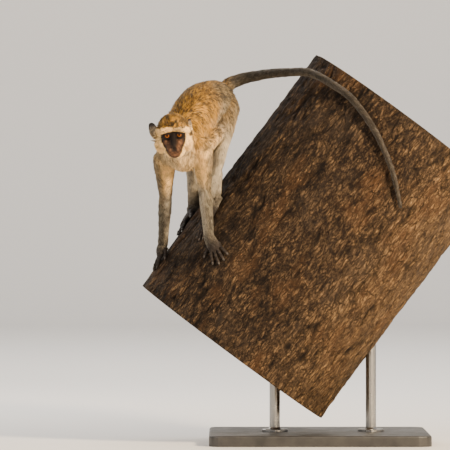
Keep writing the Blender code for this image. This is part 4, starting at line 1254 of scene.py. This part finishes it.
def bark_look():
    """Dark brown, fibrous and cracked, with grey bloom and pale sawn ends; orange flecks on the raised bark
    are painted highlights, the furrows and cracks hold painted shade, and the lower right side is painted
    lighter as if sunlit.
    """
    look = Look("bark")
    _, parts = look.channels("relief")
    furrow, plate, sawn = parts["Red"], parts["Green"], parts["Blue"]
    coarse = look.noise((0.09, 0.09, 0.16), 4.0, 0.55, BARK_TURN)
    middle = look.noise((0.0085, 0.0085, 0.0190), 5.0, 0.66, BARK_TURN, Distortion=0.5)
    fibre = look.noise((0.0019, 0.0019, 0.0046), 4.0, 0.72, BARK_TURN)
    crack = look.span(look.cracks((0.0075, 0.0075, 0.0300), BARK_TURN), 0.0, 0.10, 1.0, 0.0)
    crack = look.times(crack, look.span(middle, 0.44, 0.54))
    tone = look.plus(look.times(middle, 0.60), look.times(plate, 0.06))
    tone = look.plus(tone, look.times(fibre, 0.40))
    # Painted sunlight: the bark is painted lighter towards the log's lower right side, where the key light
    # falls on it.
    around = look.parts(look.space((1, 1, 1), BARK_TURN, tuple(LOG_CENTRE)))["X"]
    tone = look.plus(tone, look.span(around, 0.02, 0.22, 0.004, 0.092))
    brown = look.ramp(tone, (0.44, (0.005, 0.0035, 0.0026)), (0.51, (0.020, 0.012, 0.007)),
                      (0.57, (0.062, 0.038, 0.021)), (0.63, (0.112, 0.068, 0.034)),
                      (0.70, (0.22, 0.132, 0.062)), (0.76, (0.36, 0.212, 0.092)))
    orange = look.blend(brown, (0.20, 0.092, 0.033), look.span(coarse, 0.52, 0.70, 0.0, 0.25))
    grey = look.blend(orange, (0.045, 0.033, 0.024), look.span(coarse, 0.46, 0.34, 0.0, 0.30))
    # Bright orange flecks on the raised parts of the bark: painted highlights of sun on the plate edges.
    painted_highlight = look.times(look.span(look.cells((0.0052, 0.0052, 0.0070), turn=BARK_TURN), 0.24, 0.12),
                      look.span(middle, 0.53, 0.60))
    painted_highlight = look.times(painted_highlight, look.span(coarse, 0.44, 0.64, 0.05, 0.70))
    highlighted = look.blend(grey, (0.50, 0.235, 0.072), painted_highlight)
    # The furrows, hollows and cracks are painted near black: painted shade in the recesses.
    furrow_shade = look.math("MAXIMUM", crack, look.span(furrow, 0.35, 1.0))
    dark = look.blend(highlighted, (0.005, 0.0036, 0.0027), look.times(furrow_shade, 0.90))
    look.set(Base_Color=look.blend(dark, sawn_wood(look, fibre), sawn),
             Roughness=look.span(fibre, 0.3, 0.7, 0.82, 0.98))
    look.set(Specular_IOR_Level=0.14)
    rise = look.math("SUBTRACT", look.plus(look.times(fibre, 0.8), middle), crack)
    look.bump(rise, 0.0040, 1.0)
    return look.material


def steel_look():
    look = Look("rod_steel")
    drawn = look.noise((0.0009, 0.0009, 0.060), 4.0)
    smear = look.noise((0.012, 0.012, 0.03), 4.0)
    look.set(Base_Color=look.ramp(drawn, (0.3, (0.30, 0.29, 0.275)), (0.7, (0.46, 0.45, 0.43))), Metallic=1.0,
             Roughness=look.plus(look.span(smear, 0.3, 0.7, 0.20, 0.30), look.times(drawn, 0.10)),
             Anisotropic=0.4)
    look.bump(drawn, 0.0002, 0.4)
    return look.material


def painted_look():
    """Dark satin paint with a fine orange-peel and a little dust and wear."""
    look = Look("base_paint")
    peel = look.noise(0.0016, 2.0)
    dust = look.noise(0.045, 6.0, 0.7)
    colour = look.ramp(dust, (0.35, (0.020, 0.019, 0.018)), (0.72, (0.046, 0.043, 0.039)))
    look.set(Base_Color=colour, Roughness=look.span(dust, 0.3, 0.7, 0.34, 0.55))
    look.bump(peel, 0.0004, 0.5)
    return look.material


def plain_look(name, colour, roughness):
    look = Look(name)
    look.set(Base_Color=colour, Roughness=roughness)
    return look.material


# ---------------------------------------------------------------- the pieces
def flesh_nodes():
    limbs = ("upper_arm", "forearm", "hand", "thigh", "shank", "foot", "ear")
    pairs = [f"{limb}_{side}" for limb in limbs for side in ("left", "right")]
    return ["head", "neck", "torso", "tail_root", "tail_arch", "tail_fall", "tail_end", *pairs]


def place(obj, slot, material):
    obj.data.materials.clear()
    obj.data.materials.append(material)
    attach(obj, "root")


def thin_out(skin):
    """Fewer faces where the coat hides the skin."""
    points = vertices_of(skin.data)
    local = to_head(points)
    out, forward, up = local.T
    fine = (np.abs(out) < 0.06) & (forward > -0.02) & (up > -0.055) & (up < 0.045)
    fine |= from_footings(points, (0.02, 0.06, 0.10), 0.006) < 0.034
    group = skin.vertex_groups.new(name="coated")
    group.add(np.flatnonzero(~fine).tolist(), 1.0, "REPLACE")
    thin = skin.modifiers.new("thin", "DECIMATE")
    thin.ratio = 0.30
    thin.vertex_group = group.name
    apply_modifiers(skin)
    skin.vertex_groups.clear()


def finish_skin(skin):
    points, normals = vertices_of(skin.data), normals_of(skin.data)
    plan = coat_plan(points, normals)
    colour, _ = markings(points, normals, plan)
    bare, skin_colour, _ = bare_skin(points, normals, plan)
    shown = tint(colour * 0.62, skin_colour, bare)
    ones = np.ones((len(points), 1))
    add_colours(skin.data, "coat", np.hstack([shown, ones]))
    add_colours(skin.data, "bare", np.hstack([np.repeat(bare[:, None], 3, axis=1), ones]))
    skin.data.shade_smooth()
    place(skin, "dark_skin", skin_look())
    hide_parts(*flesh_nodes())


def add_eyes():
    """Eyeballs with a raised cornea; each looks out along its own Z."""
    material = eye_look()
    for side in (LEFT, RIGHT):
        clay = bmesh.new()
        bmesh.ops.create_uvsphere(clay, u_segments=48, v_segments=40, radius=EYE_RADIUS)
        for vert in clay.verts:
            angle = math.acos(max(-1, min(1, vert.co.z / EYE_RADIUS)))
            vert.co *= 1 + 0.075 * max(0, 1 - (angle / 0.66) ** 2) ** 1.5
        name = f"eyeball_{SIDE_NAME[side]}"
        eye = to_object(name, clay)
        gaze = Vector((0.03 - 0.035 * side, -1.0, -0.03)).normalized()
        centre = in_head(EYE_OUT * side, EYE_FORWARD, EYE_UP)
        eye.matrix_world = Matrix.Translation(centre) @ gaze.to_track_quat("Z", "Y").to_matrix().to_4x4()
        eye.data.shade_smooth()
        place(eye, "eye", material)
        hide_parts(f"eye_{SIDE_NAME[side]}")


def add_nails():
    """A curved plate let into the end of each finger and toe."""
    clay = bmesh.new()
    for footing, base, length, angle, radius, arch in digits():
        path = digit_path(footing, base, length, angle, radius, arch)
        ahead = (path[4] - path[3]).normalized()
        across = ahead.cross(footing.up(base[0])).normalized()
        up = across.cross(ahead)
        tip = path[4] + up * (0.50 * radius)
        centres = [tip + ahead * (radius * k) - up * (radius * drop)
                   for k, drop in ((-1.15, 0.02), (-0.5, -0.04), (0.15, 0.0), (0.75, 0.22))]
        first = len(clay.verts)
        loft(clay, centres, [radius * k for k in (0.42, 0.56, 0.52, 0.28)], [0.00045] * 4, up, 3, 20)
        clay.verts.ensure_lookup_table()
        for vert in clay.verts[first:]:
            out = (vert.co - tip).dot(across)
            vert.co -= up * (out * out / (1.3 * radius))
    nails = to_object("nails", clay)
    nails.data.shade_smooth()
    place(nails, "dark_skin", nail_look())


def ridged(points, size, seed):
    return 1 - np.abs(2 * noise(points, size, seed) - 1)


def bark_relief(along, turn):
    """(depth under the bark's outline, share of painted shade in the hollows, tone) where the bark is
    furrowed along the trunk.
    """
    flat = np.stack([np.cos(turn) * LOG_RADIUS, np.sin(turn) * LOG_RADIUS, along], axis=1) + 1.0
    bent = flat + 0.012 * np.stack([noise(flat, 0.030, k) - 0.5 for k in (71, 72, 73)], axis=1)
    grain = bent * (1, 1, 0.36)
    furrow = step(0.70, 0.98, ridged(bent * (1, 1, 0.28), 0.0170, 60))
    furrow = furrow * step(0.36, 0.58, noise(flat, 0.035, 55))
    rough = 0.0032 * (1 - ridged(grain, 0.0150, 56)) + 0.0022 * (1 - ridged(grain, 0.0085, 57))
    rough = rough + 0.0014 * noise(bent, 0.0058, 59)
    depth = 0.0030 * furrow + rough
    broad = 0.0045 * noise(flat, 0.080, 58) ** 2
    held = step(0.050, 0.028, from_footings(on_bark_array(along, turn), (0.0, 0.03, 0.06, 0.09), 0))
    # How much the bark is painted dark there, as shade in its furrows and hollows.
    hollow_shade = np.clip(furrow * 0.6 + rough / 0.0068 - 0.15, 0, 1)
    depth = depth * (1 - 0.85 * held) + broad * (1 - held) - 0.0016 * held + 0.0002
    return depth, hollow_shade, noise(bent, 0.020, 62)


def on_bark_array(along, turn, depth=0.0):
    radius = bark_radius(along, turn) - depth
    axis, near, ridge = np.array(LOG_AXIS), np.array(LOG_NEAR), np.array(LOG_RIDGE)
    out = np.cos(turn)[:, None] * ridge + np.sin(turn)[:, None] * near
    return np.array(LOG_CENTRE) + along[:, None] * axis + out * radius[:, None]


def add_bark():
    """The log's furrowed side and its two sawn ends, as one closed mesh."""
    around, rows = ((500, 232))
    even = np.arange(around) / around * 2 * np.pi
    turn = np.tile(even - 0.42 * np.sin(even - np.pi / 2) - 0.42, rows)
    along = np.repeat(np.linspace(-0.5, 0.5, rows) * LOG_LENGTH, around)
    depth, furrow, chance = bark_relief(along, turn)
    points = [on_bark_array(along, turn, depth)]
    relief = [np.stack([furrow, chance, np.zeros(len(turn)), np.ones(len(turn))], axis=1)]
    grid = np.arange(rows * around).reshape(rows, around)
    faces = [ring_faces(grid[i], grid[i + 1]) for i in range(rows - 1)]
    total = rows * around
    for sign, edge in ((-1, grid[0]), (1, grid[-1])):
        inner = edge
        rim_depth = depth[edge]
        for share in (0.988, 0.965, 0.93, 0.88, 0.80, 0.70, 0.58, 0.45, 0.32, 0.20, 0.10):
            spokes = turn[edge]
            radius = bark_radius(sign * LOG_LENGTH / 2, spokes)
            shrink = radius - (radius - rim_depth) * share
            flat = np.stack([np.cos(spokes), np.sin(spokes), np.zeros(around)], axis=1)
            flat = flat * share * LOG_RADIUS + 1
            saw = 0.0016 * noise(flat * (1, 0.25, 1), 0.006, 61) + 0.0004
            here = np.full(around, sign * LOG_LENGTH / 2) - sign * saw
            points.append(on_bark_array(here, spokes, shrink))
            relief.append(np.tile((0.0, 0.5, step(0.965, 0.93, share), 1.0), (around, 1)))
            ring = np.arange(total, total + around)
            total += around
            faces.append(ring_faces(inner, ring) if sign > 0 else ring_faces(ring, inner))
            inner = ring
        middle = np.array(LOG_CENTRE) + np.array(LOG_AXIS) * sign * (LOG_LENGTH / 2 - 0.001)
        points.append(middle[None])
        relief.append(np.array(((0.0, 0.5, 1.0, 1.0),)))
        hub = np.full(around, total)
        total += 1
        following = np.roll(inner, -1)
        fan = (inner, following, hub) if sign > 0 else (following, inner, hub)
        faces.append(np.stack(fan, axis=1).tolist())
    mesh = bpy.data.meshes.new("perch_bark")
    mesh.from_pydata(np.vstack(points).tolist(), [], [face for rows_of in faces for face in rows_of])
    mesh.update()
    mesh.shade_smooth()
    add_colours(mesh, "relief", np.vstack(relief))
    bark = linked("perch_bark", mesh)
    place(bark, "bark", bark_look())
    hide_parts("perch_log")


def ring_faces(low, high):
    """Quads between two rings of vertices, facing out."""
    return np.stack([low, np.roll(low, -1), np.roll(high, -1), high], axis=1).tolist()


def dress_stand():
    steel = steel_look()
    for name in ("stand_rod_low", "stand_rod_high"):
        place(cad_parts[name], "stand_rod", steel)
    place(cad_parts["stand_base"], "stand_base", painted_look())


# ---------------------------------------------------------------- studio
SENSOR, SUBJECT_DISTANCE, VIEW_WIDTH = 36, 8.85, 1.0125


def add_room():
    """A pale floor that sweeps up into the wall behind."""
    clay = bmesh.new()
    turn, far = 2.0, 10.5
    profile = [(-16.0, 0.0), (far, 0.0)]
    profile += [(far + turn * math.sin(a), turn - turn * math.cos(a))
                for a in np.linspace(0.1, math.pi / 2, 12)]
    profile += [(far + turn, 9.0)]
    rows = [[clay.verts.new((x, y, z - 0.0005)) for y, z in profile] for x in (-16.0, 16.0)]
    for k in range(len(profile) - 1):
        clay.faces.new((rows[0][k], rows[1][k], rows[1][k + 1], rows[0][k + 1]))
    mesh = bpy.data.meshes.new("room")
    clay.to_mesh(mesh)
    clay.free()
    mesh.shade_smooth()
    mesh.materials.append(plain_look("room", (0.86, 0.82, 0.77), 0.9))
    linked("room", mesh)


def add_light(name, place_at, aim, size, power, colour):
    data = bpy.data.lights.new(name, "AREA")
    data.size = size
    data.energy = power
    data.color = colour
    lamp = linked(name, data)
    lamp.location = place_at
    lamp.rotation_euler = (Vector(aim) - Vector(place_at)).to_track_quat("-Z", "Y").to_euler()


def add_studio():
    add_room()
    middle = (-0.22, -0.15, 0.60)
    add_light("key", (1.95, -2.50, 1.60), middle, 0.5, 320, (1.0, 0.79, 0.53))
    add_light("fill", (-2.5, -2.2, 2.1), middle, 2.4, 75, (1.0, 0.91, 0.79))
    add_light("rim", (-1.2, 1.9, 2.2), middle, 1.2, 36, (1.0, 0.94, 0.86))
    add_light("wall", (-0.2, 3.2, 6.0), (-0.2, 9.5, 0.5), 6.0, 620, (1.0, 0.97, 0.93))
    world = bpy.data.worlds.new("studio")
    world.use_nodes = True
    world.node_tree.nodes["Background"].inputs["Color"].default_value = (0.92, 0.95, 1.0, 1)
    world.node_tree.nodes["Background"].inputs["Strength"].default_value = 0.46
    bpy.context.scene.world = world
    data = bpy.data.cameras.new("camera")
    data.sensor_width = SENSOR
    data.lens = SENSOR * SUBJECT_DISTANCE / VIEW_WIDTH
    data.clip_end = 60
    camera = linked("camera", data)
    camera.location = (-0.2138, -9.0, 0.496)
    camera.rotation_euler = (math.pi / 2, 0, 0)
    bpy.context.scene.camera = camera


def main():
    skin = skin_object()
    thin_out(skin)
    refine_face(skin)
    shape_face(skin)
    finish_skin(skin)
    fur = fur_look()
    for piece in grow_coat(skin, fur):
        place(piece, "coat", fur)
    add_eyes()
    add_nails()
    add_bark()
    dress_stand()
    add_studio()


main()
